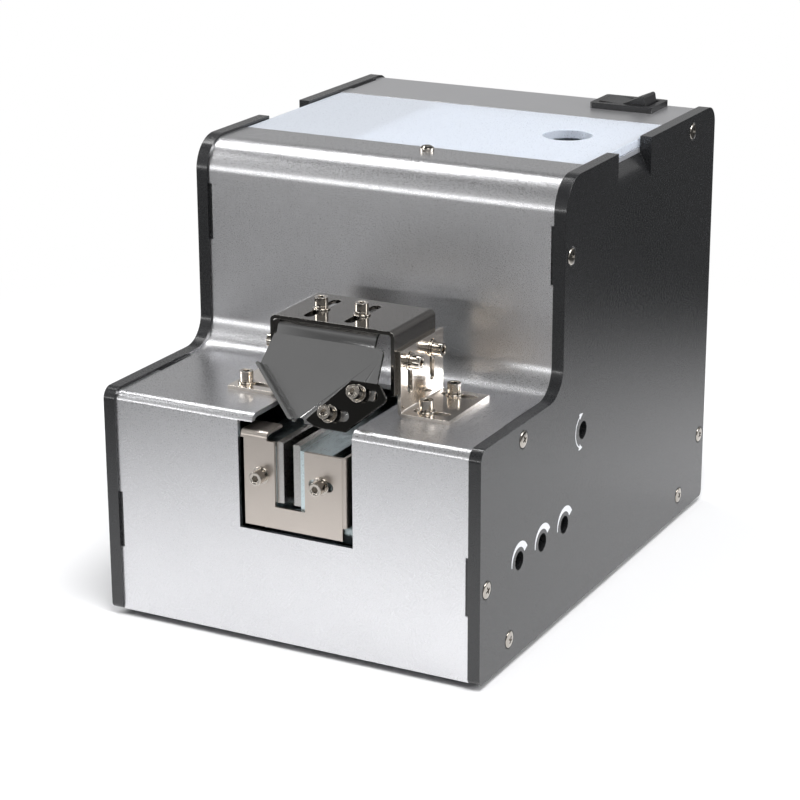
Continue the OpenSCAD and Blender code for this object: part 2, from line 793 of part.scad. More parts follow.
module hopper() {
    tongue = sheet_t;
    color("#b9bdc2") from_front() difference() {
        union() {
            hopper_room(hopper_t);
            // Deck that carries the lid, with raised tongues under the front and rear covers
            block([-inner_x, lid_y0 + loose, lid_z - hopper_t], [inner_x, lid_y1 - loose, lid_z]);
            block([-30, lid_y0 - 10, cover_top - sheet_t - tongue], [30, lid_y0 + 2, cover_top - sheet_t]);
            block([-30, lid_y1 - 2, cover_top - sheet_t - tongue], [30, lid_y1 + 10, cover_top - sheet_t]);
        }
        hopper_room(0);
        // The lid lies between the tongues
        block([-inner_x, lid_y0, lid_z], [inner_x, lid_y1, cover_top + 1]);
        // Window for the rails
        block([-6.5, hopper_y0 - hopper_t - 1, rail_top - rail_h - 2], [8.5, hopper_y0 + 1, rail_top + 6.5]);
        // Bores for the two shafts and their bushes
        bar_x(hopper_x0 - hopper_t - 1, hopper_x0 + 1, wheel_at, wheel_shaft_d + 2 * bush_wall + 2 * fit);
        bar_x(hopper_x0 - hopper_t - 1, hopper_x0 + 1, brush_at, brush_shaft_d + 2 * bush_wall + 2 * fit);
        translate([cover_screw_at[0], cover_screw_at[1], lid_z - 5]) cylinder(d = cap_d + 2 * fit, h = 10);
    }
}

// ---------------------------------------------------------------- power switch and inlet

switch_y = body_d - switch_inset;
rocker_pivot_z = cover_top + 0.5;
bezel_h = 2;
rocker_l = 16.8;
rocker_w = 10;
rocker_pin_d = 2;

module rocker_housing() {
    cavity_l = rocker_l + 1.6;
    cavity_w = rocker_w + 2 * loose;
    body_l = bezel_l - 3.4;
    body_ww = bezel_w - 3;
    color("#1d1d1f") from_front() translate([switch_x, switch_y, 0]) difference() {
        union() {
            translate([0, 0, cover_top]) linear_extrude(bezel_h)
                rounded_outline([[-bezel_l / 2, -bezel_w / 2], [bezel_l / 2, -bezel_w / 2],
                                 [bezel_l / 2, bezel_w / 2], [-bezel_l / 2, bezel_w / 2]], [1, 1, 1, 1]);
            block([-body_l / 2, -body_ww / 2, cover_top - 16], [body_l / 2, body_ww / 2, cover_top + eps]);
        }
        block([-cavity_l / 2, -cavity_w / 2, cover_top - 9], [cavity_l / 2, cavity_w / 2, cover_top + bezel_h + 1]);
        bar_y(-body_ww / 2 + 0.5, body_ww / 2 - 0.5, [0, rocker_pivot_z - 2], rocker_pin_d + 2 * fit);
    }
    // Solder tags below the housing
    color("#d8c48a") from_front() for (x = [-5, 5])
        block([switch_x + x - 0.4, switch_y - 2.4, cover_top - 23], [switch_x + x + 0.4, switch_y + 2.4, cover_top - 16]);
}

// The paddle rests with its right-hand end raised
module rocker_paddle() {
    half = rocker_l / 2;
    pin_l = bezel_w - 3 - 1.4;
    color("#28282a") from_front() translate([switch_x, switch_y, rocker_pivot_z - 2])
        rotate([0, -rocker_swing / 2, 0]) {
            along_y(-rocker_w / 2, rocker_w / 2)
                rounded_outline([[-half, 1.2], [-4, -5.5], [4, -5.5], [half, 1.2], [half, 5.4], [0, 3.4], [-half, 5.4]],
                                [0.4, 1, 1, 0.4, 0.8, 0, 0.8]);
            bar_y(-pin_l / 2, pin_l / 2, [0, 0], rocker_pin_d);
        }
}

module power_inlet() {
    z = base_top + inlet_h;
    color("#222224") from_front() difference() {
        union() {
            bar_y(cover_back, cover_back + 1.2, [inlet_x, z], 11);
            bar_y(cover_back - 12, cover_back + eps, [inlet_x, z], 8);
            // Ring nut inside the rear wall
            bar_y(cover_back - sheet_t - 2, cover_back - sheet_t, [inlet_x, z], 11);
        }
        bar_y(cover_back - 9, cover_back + 3, [inlet_x, z], 5.6);
    }
    color("silver") from_front() bar_y(cover_back - 9 - eps, cover_back - 1, [inlet_x, z], 2);
}

// ---------------------------------------------------------------- control board

module board_bracket() {
    x = board_x - board_t - board_gap;
    t = 1.2;
    color("#8d9094") from_front() {
        difference() {
            along_y(board_y[0], board_y[1])
                bent_sheet([[x - 14, base_top + t / 2], [x - t / 2, base_top + t / 2], [x - t / 2, board_z[1]]], [1.6], t);
            for (y = [board_y[0] + 4, board_y[1] - 4], z = [board_z[0] + 4, board_z[1] - 4])
                bar_x(x - t - 1, x + 1, [y, z], 2);
        }
        for (y = [board_y[0] + 4, board_y[1] - 4], z = [board_z[0] + 4, board_z[1] - 4])
            difference() {
                bar_x(x - eps, x + board_gap, [y, z], 4.5);
                bar_x(x - 1, x + board_gap + 1, [y, z], 2);
            }
    }
}

module control_board() {
    color("#2d6a44") from_front() difference() {
        block([board_x - board_t, board_y[0], board_z[0]], [board_x, board_y[1], board_z[1]]);
        for (y = [board_y[0] + 4, board_y[1] - 4], z = [board_z[0] + 4, board_z[1] - 4])
            bar_x(board_x - board_t - 1, board_x + 1, [y, z], 2);
    }
}

module board_components() {
    color("#3b3b3d") from_front() {
        // Capacitors
        for (y = [26, 38]) bar_x(board_x, board_x + 8, [y, board_z[0] + 8], 7);
        // Plug strip
        block([board_x, 46, board_z[0] + 3], [board_x + 6, 62, board_z[0] + 10]);
        // Controller chip
        block([board_x, 34, board_z[1] - 6], [board_x + 1.2, 44, board_z[1] - 2]);
    }
}

module trimmer_bodies() {
    color("#2f5fa8") from_front() for (at = adjusters) difference() {
        block([board_x, at[0] - trimmer_l / 2, at[1] - trimmer_l / 2],
              [rotor_x - 1.6, at[0] + trimmer_l / 2, at[1] + trimmer_l / 2]);
        bar_x(board_x + 3, rotor_x, at, rotor_d + 2 * fit);
    }
}

// Rotor with its screwdriver slot, turning in its trimmer body
module trimmer_rotor(at) {
    color("#e8e4da") from_front() difference() {
        bar_x(board_x + 3 + fit, rotor_x, at, rotor_d);
        translate([rotor_x - 1, at[0], at[1]]) rotate([45, 0, 0]) block([0, -3, -0.4], [2, 3, 0.4]);
    }
}

module speed_rotor() {
    trimmer_rotor(adjusters[0]);
}

module vibration_rotor() {
    trimmer_rotor(adjusters[1]);
}

module roller_rotor() {
    trimmer_rotor(adjusters[2]);
}

// ---------------------------------------------------------------- vibration drive

// y of the front spring face at height z
function spring_y(z) = spring_foot_y + tan(spring_lean) * (z - spring_base_z);

// Slanted strip between the spring faces, from z0 to z1
module slanted_section(z0, z1) {
    polygon([[spring_y(z0), z0], [spring_y(z0) + spring_span, z0], [spring_y(z1) + spring_span, z1], [spring_y(z1), z1]]);
}

module rubber_isolators() {
    color("#222222") from_front()
        for (x = [-spring_base_x + 6, spring_base_x - 6], y = [spring_foot_y + 7, spring_foot_y + spring_span - 7])
            translate([x, y, base_top]) cylinder(d = 8, h = isolator_h);
}

module spring_base() {
    color("#5d6064") from_front()
        along_x(-spring_base_x, spring_base_x) slanted_section(spring_base_z, spring_base_top);
}

// Front and rear leaf spring, each lying on the slanted end faces
module leaf_springs() {
    z0 = spring_base_z + 0.5;
    z1 = carrier_z + carrier_h - 0.5;
    t = spring_t / cos(spring_lean);
    color("#a9adb3") from_front() along_x(-spring_w / 2, spring_w / 2) {
        polygon([[spring_y(z0) - t, z0], [spring_y(z0), z0], [spring_y(z1), z1], [spring_y(z1) - t, z1]]);
        polygon([[spring_y(z0) + spring_span, z0], [spring_y(z0) + spring_span + t, z0],
                 [spring_y(z1) + spring_span + t, z1], [spring_y(z1) + spring_span, z1]]);
    }
}

// Clamp strip with its two screws, on the outer side of a spring end, in the frame of the spring
module clamp_strip(dir) {
    color("#7c8086") {
        block([-spring_w / 2, dir > 0 ? 0 : -clamp_t, -clamp_h / 2], [spring_w / 2, dir > 0 ? clamp_t : 0, clamp_h / 2]);
        for (x = [-8, 8])
            bar_y(dir > 0 ? clamp_t - eps : -clamp_t - 1.2, dir > 0 ? clamp_t + 1.2 : -clamp_t + eps, [x, 0], 4);
    }
}

// Clamp strips on both springs at height z
module clamp_pair(z) {
    t = spring_t / cos(spring_lean);
    from_front() {
        translate([0, spring_y(z) - t, z]) rotate([-spring_lean, 0, 0]) clamp_strip(-1);
        translate([0, spring_y(z) + spring_span + t, z]) rotate([-spring_lean, 0, 0]) clamp_strip(1);
    }
}

module lower_clamps() {
    clamp_pair(spring_base_z + spring_base_h / 2);
}

module upper_clamps() {
    clamp_pair(carrier_z + carrier_h / 2);
}

module magnet_core() {
    z = spring_base_top;
    color("#7f8388") from_front() difference() {
        block([-magnet_w / 2, magnet_y, z], [magnet_w / 2, magnet_y + magnet_l, z + magnet_h]);
        // Two windows for the coil
        for (s = [-1, 1])
            block([s * magnet_w / 3.2 - 3, magnet_y + 4, z - 1], [s * magnet_w / 3.2 + 3, magnet_y + magnet_l + 1, z + magnet_h + 1]);
    }
}

module magnet_coil() {
    z = spring_base_top;
    leg = magnet_w / 3.2 - 3;
    color("#b06a3a") from_front() difference() {
        block([-leg - 5, magnet_y + 5, z + 2], [leg + 5, magnet_y + magnet_l - 3, z + magnet_h + 2]);
        block([-leg, magnet_y, z + 1], [leg, magnet_y + magnet_l + 1, z + magnet_h]);
    }
}

module armature() {
    z0 = spring_base_top + 2;
    y0 = magnet_y + magnet_l + air_gap;
    color("#6c7075") from_front()
        block([-magnet_w / 2, y0, z0], [magnet_w / 2, y0 + armature_t, carrier_z]);
}

module rail_carrier() {
    lug_y0 = gate_screw_y - lug_l / 2;
    color("#aab4ba") from_front() difference() {
        union() {
            along_x(carrier_x0, carrier_x1) slanted_section(carrier_z, block_z);
            block([carrier_x1 - 1, lug_y0 - 10, carrier_z], [lug_x0 + lug_w, lug_y0 + lug_l, block_z]);
            block([lug_x0, lug_y0, carrier_z], [lug_x0 + lug_w, lug_y0 + lug_l, gate_screw_z + lug_l / 2]);
        }
        bar_x(lug_x0 - 1, lug_x0 + lug_w + 1, [gate_screw_y, gate_screw_z], gate_screw_d + 2 * fit);
    }
}

// ---------------------------------------------------------------- screw track

module rail_block_left() {
    x1 = rail_left_x - rail_t;
    color("#a9b4bb") from_front() difference() {
        block([x1 - block_w, block_y0, block_z], [x1, block_y0 + block_l, block_top]);
        for (y = guide_pin_y) bar_x(x1 - 7, x1 + 1, [y, guide_pin_z], guide_pin_d + 2 * fit);
        bar_y(block_y0 - 1, block_y0 + exit_screw_l, [exit_screw_left_x, exit_screw_z], cap_d + 2 * fit);
    }
}

module rail_block_right() {
    x0 = rail_right_x + rail_t;
    color("#b4c3c8") from_front() difference() {
        block([x0, block_y0 + slide_fit, block_z + slide_fit], [x0 + block_w, block_y0 + block_l, block_top]);
        for (y = guide_pin_y) bar_x(x0 - 1, x0 + block_w + 1, [y, guide_pin_z], guide_pin_d + 2 * fit);
        bar_x(x0 + block_w - gate_bore_depth, x0 + block_w + 1, [gate_screw_y, gate_screw_z], gate_screw_d + 2 * fit);
        bar_y(block_y0 - 1, block_y0 + exit_screw_l, [exit_screw_right_x, exit_screw_z], cap_d + 2 * fit);
    }
}

// Rail with a lower, cut-back tail that reaches into the hopper
module rail(x0) {
    tail_y = block_y0 + block_l + 6;
    y1 = rail_y0 + rail_l;
    color("#b9bcc0") from_front() along_x(x0, x0 + rail_t)
        polygon([[rail_y0, rail_top - rail_h], [tail_y, rail_top - rail_h], [tail_y + 4, rail_top - rail_h + 4],
                 [y1, rail_top - 8], [y1, rail_top], [rail_y0, rail_top]]);
}

module rail_left() {
    rail(rail_left_x - rail_t);
}

module rail_right() {
    rail(rail_right_x);
}

// The pins are pressed into the left block, and the right block slides on them
module guide_pins() {
    x0 = rail_left_x - rail_t - 7;
    x1 = rail_right_x + rail_t + block_w - 4;
    color("silver") from_front()
        for (y = guide_pin_y) bar_x(x0, x1, [y, guide_pin_z], guide_pin_d);
}

// Lead screw held in the lug between its head and a collar, with its thread in the right block
module gate_screw() {
    at = [gate_screw_y, gate_screw_z];
    x1 = lug_x0 + lug_w;
    color("#c9c9c4") from_front() difference() {
        union() {
            bar_x(gate_tip_x, x1 + 1, at, gate_screw_d);
            bar_x(x1 + slide_fit, x1 + slide_fit + gate_head_l, at, gate_head_d);
            bar_x(lug_x0 - slide_fit - gate_collar_t, lug_x0 - slide_fit, at, gate_head_d);
        }
        translate([x1 + gate_head_l - 1, at[0], at[1]]) rotate([40, 0, 0]) block([0, -4, -0.5], [3, 4, 0.5]);
    }
}

// ---------------------------------------------------------------- exit plate

module exit_plate() {
    x_slot0 = rail_left_x - rail_t;
    tab_x = [exit_x0 - 1, -6.5];
    t = exit_t;
    mid = t / 2;
    screw_slot = [exit_screw_right_x + gate_travel[0] - loose, exit_screw_right_x + gate_travel[1] + 1];
    color("#c9c0b4") from_front() difference() {
        union() {
            // Flat face
            block([exit_x0, 0, exit_z0], [x_slot0 + eps, t, exit_left_z1 - 2.5]);
            block([x_slot0, 0, exit_z0], [exit_x1 - 2.5, t, exit_right_z1]);
            // Left half with its top tab folded back
            along_x(tab_x[0], tab_x[1])
                bent_sheet([[mid, exit_left_z1 - 5], [mid, exit_left_z1 - mid], [exit_tab_l, exit_left_z1 - mid]], [1.4], t);
            // Right-hand flange folded back, cut off above the lower edge
            translate([0, 0, exit_z0 + 4]) linear_extrude(exit_right_z1 - exit_z0 - 4)
                bent_sheet([[exit_x1 - 6, mid], [exit_x1 - mid, mid], [exit_x1 - mid, 10]], [1.4], t);
            block([exit_x1 - 3, 0, exit_z0], [exit_x1 - 1.2, t, exit_right_z1]);
        }
        // The top tab is as wide as the plate below its bend
        block([exit_x0 - 2, -1, exit_left_z1 - 6], [exit_x0, t + 0.2, exit_left_z1 - 2.4]);
        // Slot over the rails
        block([x_slot0, -1, exit_slot_z], [exit_slot_x1, t + 1, exit_left_z1 + 1]);
        bar_y(-1, t + 1, [exit_screw_left_x, exit_screw_z], cap_d + 2 * fit);
        along_y(-1, t + 1)
            slot_2d([screw_slot[0], exit_screw_z], [screw_slot[1], exit_screw_z], cap_d + 2 * loose);
    }
}

module exit_screw(x) {
    color("#cfc9bd") from_front() translate([x, 0, exit_screw_z]) rotate([90, 0, 0]) cap_screw(exit_screw_l);
}

module exit_screw_left() {
    exit_screw(exit_screw_left_x);
}

module exit_screw_right() {
    exit_screw(exit_screw_right_x);
}

// ---------------------------------------------------------------- hood and brackets

module hood() {
    m = hood_t / 2;
    color("#8e8a85") from_front() difference() {
        along_y(hood_y, hood_y + hood_d)
            bent_sheet([[hood_x0 + m, hood_z0], [hood_x0 + m, hood_z1 - m], [hood_x1 - m, hood_z1 - m],
                        [hood_x1 - m, hood_z0]], [hood_bend, hood_bend], hood_t);
        for (x = guide_screw_x)
            translate([0, 0, hood_z1 - hood_t - 1]) linear_extrude(hood_t + 2)
                slot_2d([x, guide_slot_y[0]], [x, guide_slot_y[1]], hood_slot_w);
        for (y = hood_screw_y)
            bar_x(hood_x0 - 1, hood_x1 + 1, [y, hood_screw_z], cap_d + 2 * fit);
    }
}

// Bracket on the right of the hood; the left one is its mirror image about the middle of the hood
module hood_bracket() {
    m = hood_t / 2;
    difference() {
        along_y(bracket_y, bracket_y + bracket_d)
            bent_sheet([[hood_x1 + m, cover_shelf + bracket_h], [hood_x1 + m, cover_shelf + m],
                        [hood_x1 + bracket_foot_w, cover_shelf + m]], [bracket_bend], hood_t);
        for (y = hood_screw_y)
            along_x(hood_x1 - 1, hood_x1 + hood_t + 1)
                slot_2d([y, hood_slot_z[0]], [y, hood_slot_z[1] - 1], hood_slot_w);
        for (y = bracket_screw_y)
            translate([0, 0, cover_shelf - 1]) linear_extrude(hood_t + 2)
                slot_2d([hood_x1 + bracket_slot[0] + hood_slot_w / 2, y],
                        [hood_x1 + bracket_slot[1] - hood_slot_w / 2, y], hood_slot_w);
    }
}

module about_hood() {
    translate([hood_mid, 0, 0]) mirror([1, 0, 0]) translate([-hood_mid, 0, 0]) children();
}

module hood_bracket_right() {
    color("#c9c3ba") from_front() hood_bracket();
}

module hood_bracket_left() {
    color("#c9c3ba") from_front() about_hood() hood_bracket();
}

module bracket_screws() {
    color("#cfc9bd") from_front()
        for (y = bracket_screw_y, x = [bracket_screw_left_x, bracket_screw_right_x])
            translate([x, y, cover_shelf + hood_t]) cap_screw(hood_t + sheet_t + 2.5);
}

// Side screws of the hood, with their nuts inside
module hood_screws() {
    color("#cfc9bd") from_front()
        for (y = hood_screw_y) {
            translate([hood_x1 + hood_t, y, hood_screw_z]) rotate([0, 90, 0]) cap_screw(2 * hood_t + nut_t + 0.5);
            translate([hood_x1 - hood_t, y, hood_screw_z]) rotate([0, 90, 0]) hex_nut();
            about_hood() {
                translate([hood_x1 + hood_t, y, hood_screw_z]) rotate([0, 90, 0]) cap_screw(2 * hood_t + nut_t + 0.5);
                translate([hood_x1 - hood_t, y, hood_screw_z]) rotate([0, 90, 0]) hex_nut();
            }
        }
}

// ---------------------------------------------------------------- bit guide

// Frame of the bit guide: x to the right, y up the guide, z out of its front face
module on_guide() {
    translate([0, guide_pivot[0], guide_pivot[1]]) rotate([90 - guide_lean, 0, 0]) children();
}

lip_from = [-15.3, -12.2];                      // upper end of the lip, in the frame of the guide
lip_to = [-0.3, -27.2];                         // lower end of the lip
guide_low = -27.4;

module bit_guide() {
    m = guide_t / 2;
    fold = [guide_pivot[0] + (guide_top - m - guide_pivot[1]) * tan(guide_lean) + m / cos(guide_lean), guide_top - m];
    down = [-sin(guide_lean), -cos(guide_lean)];
    color("#9a9a9a") from_front() difference() {
        union() {
            // Flange under the hood and the bend into the slope
            along_x(guide_x0 + 0.6, guide_x1 - 3.2)
                bent_sheet([[guide_flange_y1, guide_top - m], fold, fold + down * 8], [guide_bend_r], guide_t);
            on_guide() {
                translate([0, 0, -guide_t]) linear_extrude(guide_t)
                    rounded_outline([[lip_from[0], lip_from[1]], [lip_to[0], lip_to[1]], [0.6, guide_low],
                                     [15.5, guide_low], [guide_x1, -18], [guide_x1, -1.6], [guide_x0, -1.6]],
                                    [0.5, 0, 0, 3, 3, 2, 1]);
                // Lip folded forwards along the lower left edge
                translate([0, 0, -guide_t]) linear_extrude(guide_t + lip_h)
                    slot_2d(lip_from + [0.7, 0.3], lip_to + [0.3, 0.7], guide_t);
            }
        }
        // The bit leaves the guide through a round notch at its lowest point
        on_guide() translate([2.3, guide_low, -3]) cylinder(d = 3.2, h = 8);
        for (at = jaw_slots)
            on_guide() translate([at[0], -at[1], -3]) cylinder(d = cap_d + 2 * fit, h = 8);
        for (x = guide_screw_x)
            translate([x, guide_screw_y, guide_top - 4]) cylinder(d = cap_d + 2 * fit, h = 8);
    }
}

module bit_guide_screws() {
    color("#cfc9bd") from_front()
        for (x = guide_screw_x) {
            translate([x, guide_screw_y, hood_z1]) cap_screw(hood_t + guide_t + nut_t + 0.5);
            translate([x, guide_screw_y, guide_top - guide_t]) hex_nut();
        }
}

module guide_jaw() {
    color("#5f5d5b") from_front() on_guide() difference() {
        linear_extrude(jaw_t)
            rounded_outline([[4.5, -26.3], [8.5, -28], [18.4, -28], [30.2, -16.6], [26.6, -12.3], [17, -12.3]],
                            [0.6, 0.6, 0.8, 2, 2.4, 0.8]);
        for (at = jaw_slots)
            translate([0, 0, -1]) linear_extrude(jaw_t + 2)
                slot_2d([at[0] - loose, -at[1]], [at[0] + jaw_slot_l, -at[1]], hood_slot_w);
    }
}

module jaw_screws() {
    color("#cfc9bd") from_front() on_guide() for (at = jaw_slots) translate([at[0], -at[1], 0]) {
        translate([0, 0, jaw_t]) cap_screw(jaw_t + guide_t + nut_t + 0.3);
        translate([0, 0, -guide_t]) hex_nut();
    }
}

// ---------------------------------------------------------------- scoop wheel, brush and drive

// Involute tooth: half its angle at radius r, for z teeth of module m
function involute(angle) = tan(angle) * 180 / PI - angle;
function tooth_half_angle(r, z, m) =
    90 / z * (1 - tooth_play) + involute(pressure_angle)
    - involute(acos(min(1, m * z * cos(pressure_angle) / (2 * r))));

// Radii at which a flank has its points, from the root to the tip
function flank_radii(z, m) =
    let (base = m * z * cos(pressure_angle) / 2, root = m * (z / 2 - 1.2), tip = m * (z / 2 + 0.9))
    [root, for (k = [0:3]) max(base, root) + (tip - max(base, root)) * k / 3 + (k == 0 ? eps : 0)];

function gear_points(z, m) =
    let (radii = flank_radii(z, m), last = len(radii) - 1)
    [for (i = [0:z - 1], k = [0:2 * last + 1])
        let (r = radii[k <= last ? k : 2 * last + 1 - k],
             a = i * 360 / z + (k <= last ? -1 : 1) * tooth_half_angle(r, z, m))
        r * [cos(a), sin(a)]];

// Spur gear along X, with a tooth towards phase
module spur_gear(z, at, bore, phase) {
    translate([gear_x0, at[0], at[1]]) rotate([90, 0, 90]) rotate(phase) linear_extrude(gear_w) difference() {
        polygon(gear_points(z, gear_module));
        circle(d = bore);
        // Five round holes lighten the larger gear
        if (z > 30)
            for (i = [0:4]) rotate(36 + 72 * i) translate([gear_module * z * 0.3, 0]) circle(d = gear_module * z * 0.17);
    }
}

module mechanism_plate() {
    y0 = wheel_at[0] - 36;
    y1 = wheel_at[0] + 18;
    color("#8d9196") from_front() difference() {
        union() {
            along_y(y0, y1)
                bent_sheet([[plate_x0 - 18, base_top + plate_t / 2], [plate_x0 + plate_t / 2, base_top + plate_t / 2],
                            [plate_x0 + plate_t / 2, brush_at[1] + 10]], [3], plate_t);
        }
        bar_x(plate_x0 - 1, plate_x0 + plate_t + 1, wheel_at, wheel_shaft_d + 2 * bush_wall + 2 * fit);
        bar_x(plate_x0 - 1, plate_x0 + plate_t + 1, brush_at, brush_shaft_d + 2 * bush_wall + 2 * fit);
        // Cable opening
        translate([plate_x0 - 1, y0 + 10, base_top + 14]) rotate([90, 0, 90]) linear_extrude(plate_t + 2)
            slot_2d([0, 0], [14, 0], 8);
    }
}

// Worm gear motor: a flat gearbox behind the plate and a motor can that points to the front
module gear_motor() {
    x1 = plate_x0;
    box_t = 15;
    can_at = [plate_x0 - motor_can_d / 2 - 0.5, wheel_at[1] - 8];
    y0 = wheel_at[0] - 15;
    color("#b8bbbf") from_front() difference() {
        union() {
            along_x(x1 - box_t, x1)
                rounded_outline([[y0, wheel_at[1] - 22], [y0 + 32, wheel_at[1] - 22], [y0 + 32, wheel_at[1] + 18], [y0, wheel_at[1] + 18]],
                                [3, 3, 12, 12]);
            bar_y(y0 - 31, y0 + eps, can_at, motor_can_d);
            bar_y(y0 - 34, y0 - 31 + eps, can_at, 9);
        }
        bar_x(x1 - 9, x1 + 1, wheel_at, wheel_shaft_d + 2 * fit);
    }
}

// Flanged bushes in the hopper wall and in the mechanism plate
module shaft_bush(x, at, shaft_d, dir, wall) {
    difference() {
        union() {
            bar_x(min(x, x + dir * wall), max(x, x + dir * wall), at, shaft_d + 2 * bush_wall);
            bar_x(min(x, x - dir * bush_flange_t * 0.6), max(x, x - dir * bush_flange_t * 0.6), at, shaft_d + 4 * bush_wall);
        }
        bar_x(x - 6, x + 6, at, shaft_d + 2 * fit);
    }
}

module shaft_bushes() {
    color("#c08a3e") from_front() {
        shaft_bush(hopper_x0 - hopper_t, wheel_at, wheel_shaft_d, 1, hopper_t);
        shaft_bush(hopper_x0 - hopper_t, brush_at, brush_shaft_d, 1, hopper_t);
        shaft_bush(plate_x0 + plate_t, wheel_at, wheel_shaft_d, -1, plate_t);
        shaft_bush(plate_x0 + plate_t, brush_at, brush_shaft_d, -1, plate_t);
    }
}

module wheel_shaft() {
    color("#c4c6c9") from_front() bar_x(plate_x0 - 8, wheel_x1 + 1, wheel_at, wheel_shaft_d);
}

// Disc with a hub and slanted scoops that tip the screws onto the rails at the top
module scoop_wheel() {
    disc_t = 2;
    vane_t = 1.6;
    color("#d8d4c4") from_front() difference() {
        union() {
            bar_x(wheel_x0, wheel_x0 + disc_t, wheel_at, 2 * wheel_r);
            bar_x(wheel_x0, wheel_x1, wheel_at, wheel_shaft_d + 8);
            intersection() {
                bar_x(wheel_x0, wheel_x1, wheel_at, 2 * wheel_r);
                for (i = [0:scoop_count - 1])
                    translate([wheel_x0, wheel_at[0], wheel_at[1]]) rotate([i * 360 / scoop_count, 0, 0]) {
                        translate([0, 5, 6]) rotate([0, 0, -12]) cube([wheel_w + 4, vane_t, wheel_r]);
                        block([0, -3, wheel_r - 3], [wheel_w, 7.5, wheel_r - 1.4]);
                    }
            }
        }
        bar_x(wheel_x0 - 1, wheel_x1 + 1, wheel_at, wheel_shaft_d + 2 * fit);
    }
}

module wheel_gear() {
    color("#efe9d8") from_front() spur_gear(wheel_teeth, wheel_at, wheel_shaft_d + 2 * fit, mesh_angle);
}

module brush_shaft() {
    color("#c4c6c9") from_front()
        bar_x(plate_x0 - 0.5, track_x + brush_w / 2 + 1, brush_at, brush_shaft_d);
}

module brush_roller() {
    core_r = 4.5;
    x0 = track_x - brush_w / 2;
    color("#3c4148") from_front() difference() {
        union() {
            bar_x(x0, x0 + brush_w, brush_at, 2 * core_r);
            for (i = [0:bristle_rows - 1])
                translate([x0 + 0.5, brush_at[0], brush_at[1]]) rotate([i * 360 / bristle_rows, 0, 0])
                    block([0, -0.5, core_r - 0.5], [brush_w - 1, 0.5, brush_r]);
        }
        bar_x(x0 - 1, x0 + brush_w + 1, brush_at, brush_shaft_d + 2 * fit);
    }
}

module brush_gear() {
    color("#efe9d8") from_front()
        spur_gear(brush_teeth, brush_at, brush_shaft_d + 2 * fit, mesh_angle + 180 + 180 / brush_teeth);
}

base_plate();
rubber_feet();
front_cover();
rear_cover();
side_panel_right();
side_panel_left();
side_screws_right();
side_screws_left();
cover_screw();
hopper_lid();
hopper();
rocker_housing();
rocker_paddle();
power_inlet();
board_bracket();
control_board();
board_components();
trimmer_bodies();
speed_rotor();
vibration_rotor();
roller_rotor();
rubber_isolators();
spring_base();
leaf_springs();
lower_clamps();
upper_clamps();
magnet_core();
magnet_coil();
armature();
rail_carrier();
rail_block_left();
rail_block_right();
rail_left();
rail_right();
guide_pins();
gate_screw();
exit_plate();
exit_screw_left();
exit_screw_right();
hood_bracket_left();
hood_bracket_right();
bracket_screws();
hood();
hood_screws();
bit_guide();
bit_guide_screws();
guide_jaw();
jaw_screws();
mechanism_plate();
gear_motor();
shaft_bushes();
wheel_shaft();
scoop_wheel();
wheel_gear();
brush_shaft();
brush_roller();
brush_gear();
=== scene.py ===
"""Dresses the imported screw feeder: finishes, softened sheet metal, fasteners, printed marks, light, camera.

Every class below is one sub-assembly or one kind of finish. Lengths are in millimetres where a name ends in
_mm, and in metres elsewhere, as Blender has them.
"""

import json
import logging
import math
from collections.abc import Callable, Iterable, Sequence
from dataclasses import dataclass, field
from enum import Enum

import bmesh
import bpy
from mathutils import Matrix, Vector


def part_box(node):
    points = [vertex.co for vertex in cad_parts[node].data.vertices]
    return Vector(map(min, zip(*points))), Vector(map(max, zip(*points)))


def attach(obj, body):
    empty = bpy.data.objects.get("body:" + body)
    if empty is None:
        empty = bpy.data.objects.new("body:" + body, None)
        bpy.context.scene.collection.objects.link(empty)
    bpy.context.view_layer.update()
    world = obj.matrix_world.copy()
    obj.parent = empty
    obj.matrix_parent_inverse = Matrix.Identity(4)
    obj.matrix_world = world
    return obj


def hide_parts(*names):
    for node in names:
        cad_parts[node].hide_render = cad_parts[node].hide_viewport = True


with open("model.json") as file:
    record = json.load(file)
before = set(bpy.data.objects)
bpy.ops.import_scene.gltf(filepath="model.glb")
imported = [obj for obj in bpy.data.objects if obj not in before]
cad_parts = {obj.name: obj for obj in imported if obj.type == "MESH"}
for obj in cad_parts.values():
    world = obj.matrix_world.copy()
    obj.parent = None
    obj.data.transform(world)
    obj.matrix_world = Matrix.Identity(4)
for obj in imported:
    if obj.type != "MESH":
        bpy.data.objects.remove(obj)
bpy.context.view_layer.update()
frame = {"nodes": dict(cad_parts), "record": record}

MM = 0.001
LOG = logging.getLogger("feeder")

Point = tuple[float, float, float]
Colour = tuple[float, float, float]


# ---------------------------------------------------------------- finishes


class Grain(Enum):
    """How a finish breaks up the light at the smallest scale."""

    NONE = "none"
    BLASTED = "blasted"
    BRUSHED = "brushed"
    POWDER = "powder"
    PEBBLED = "pebbled"


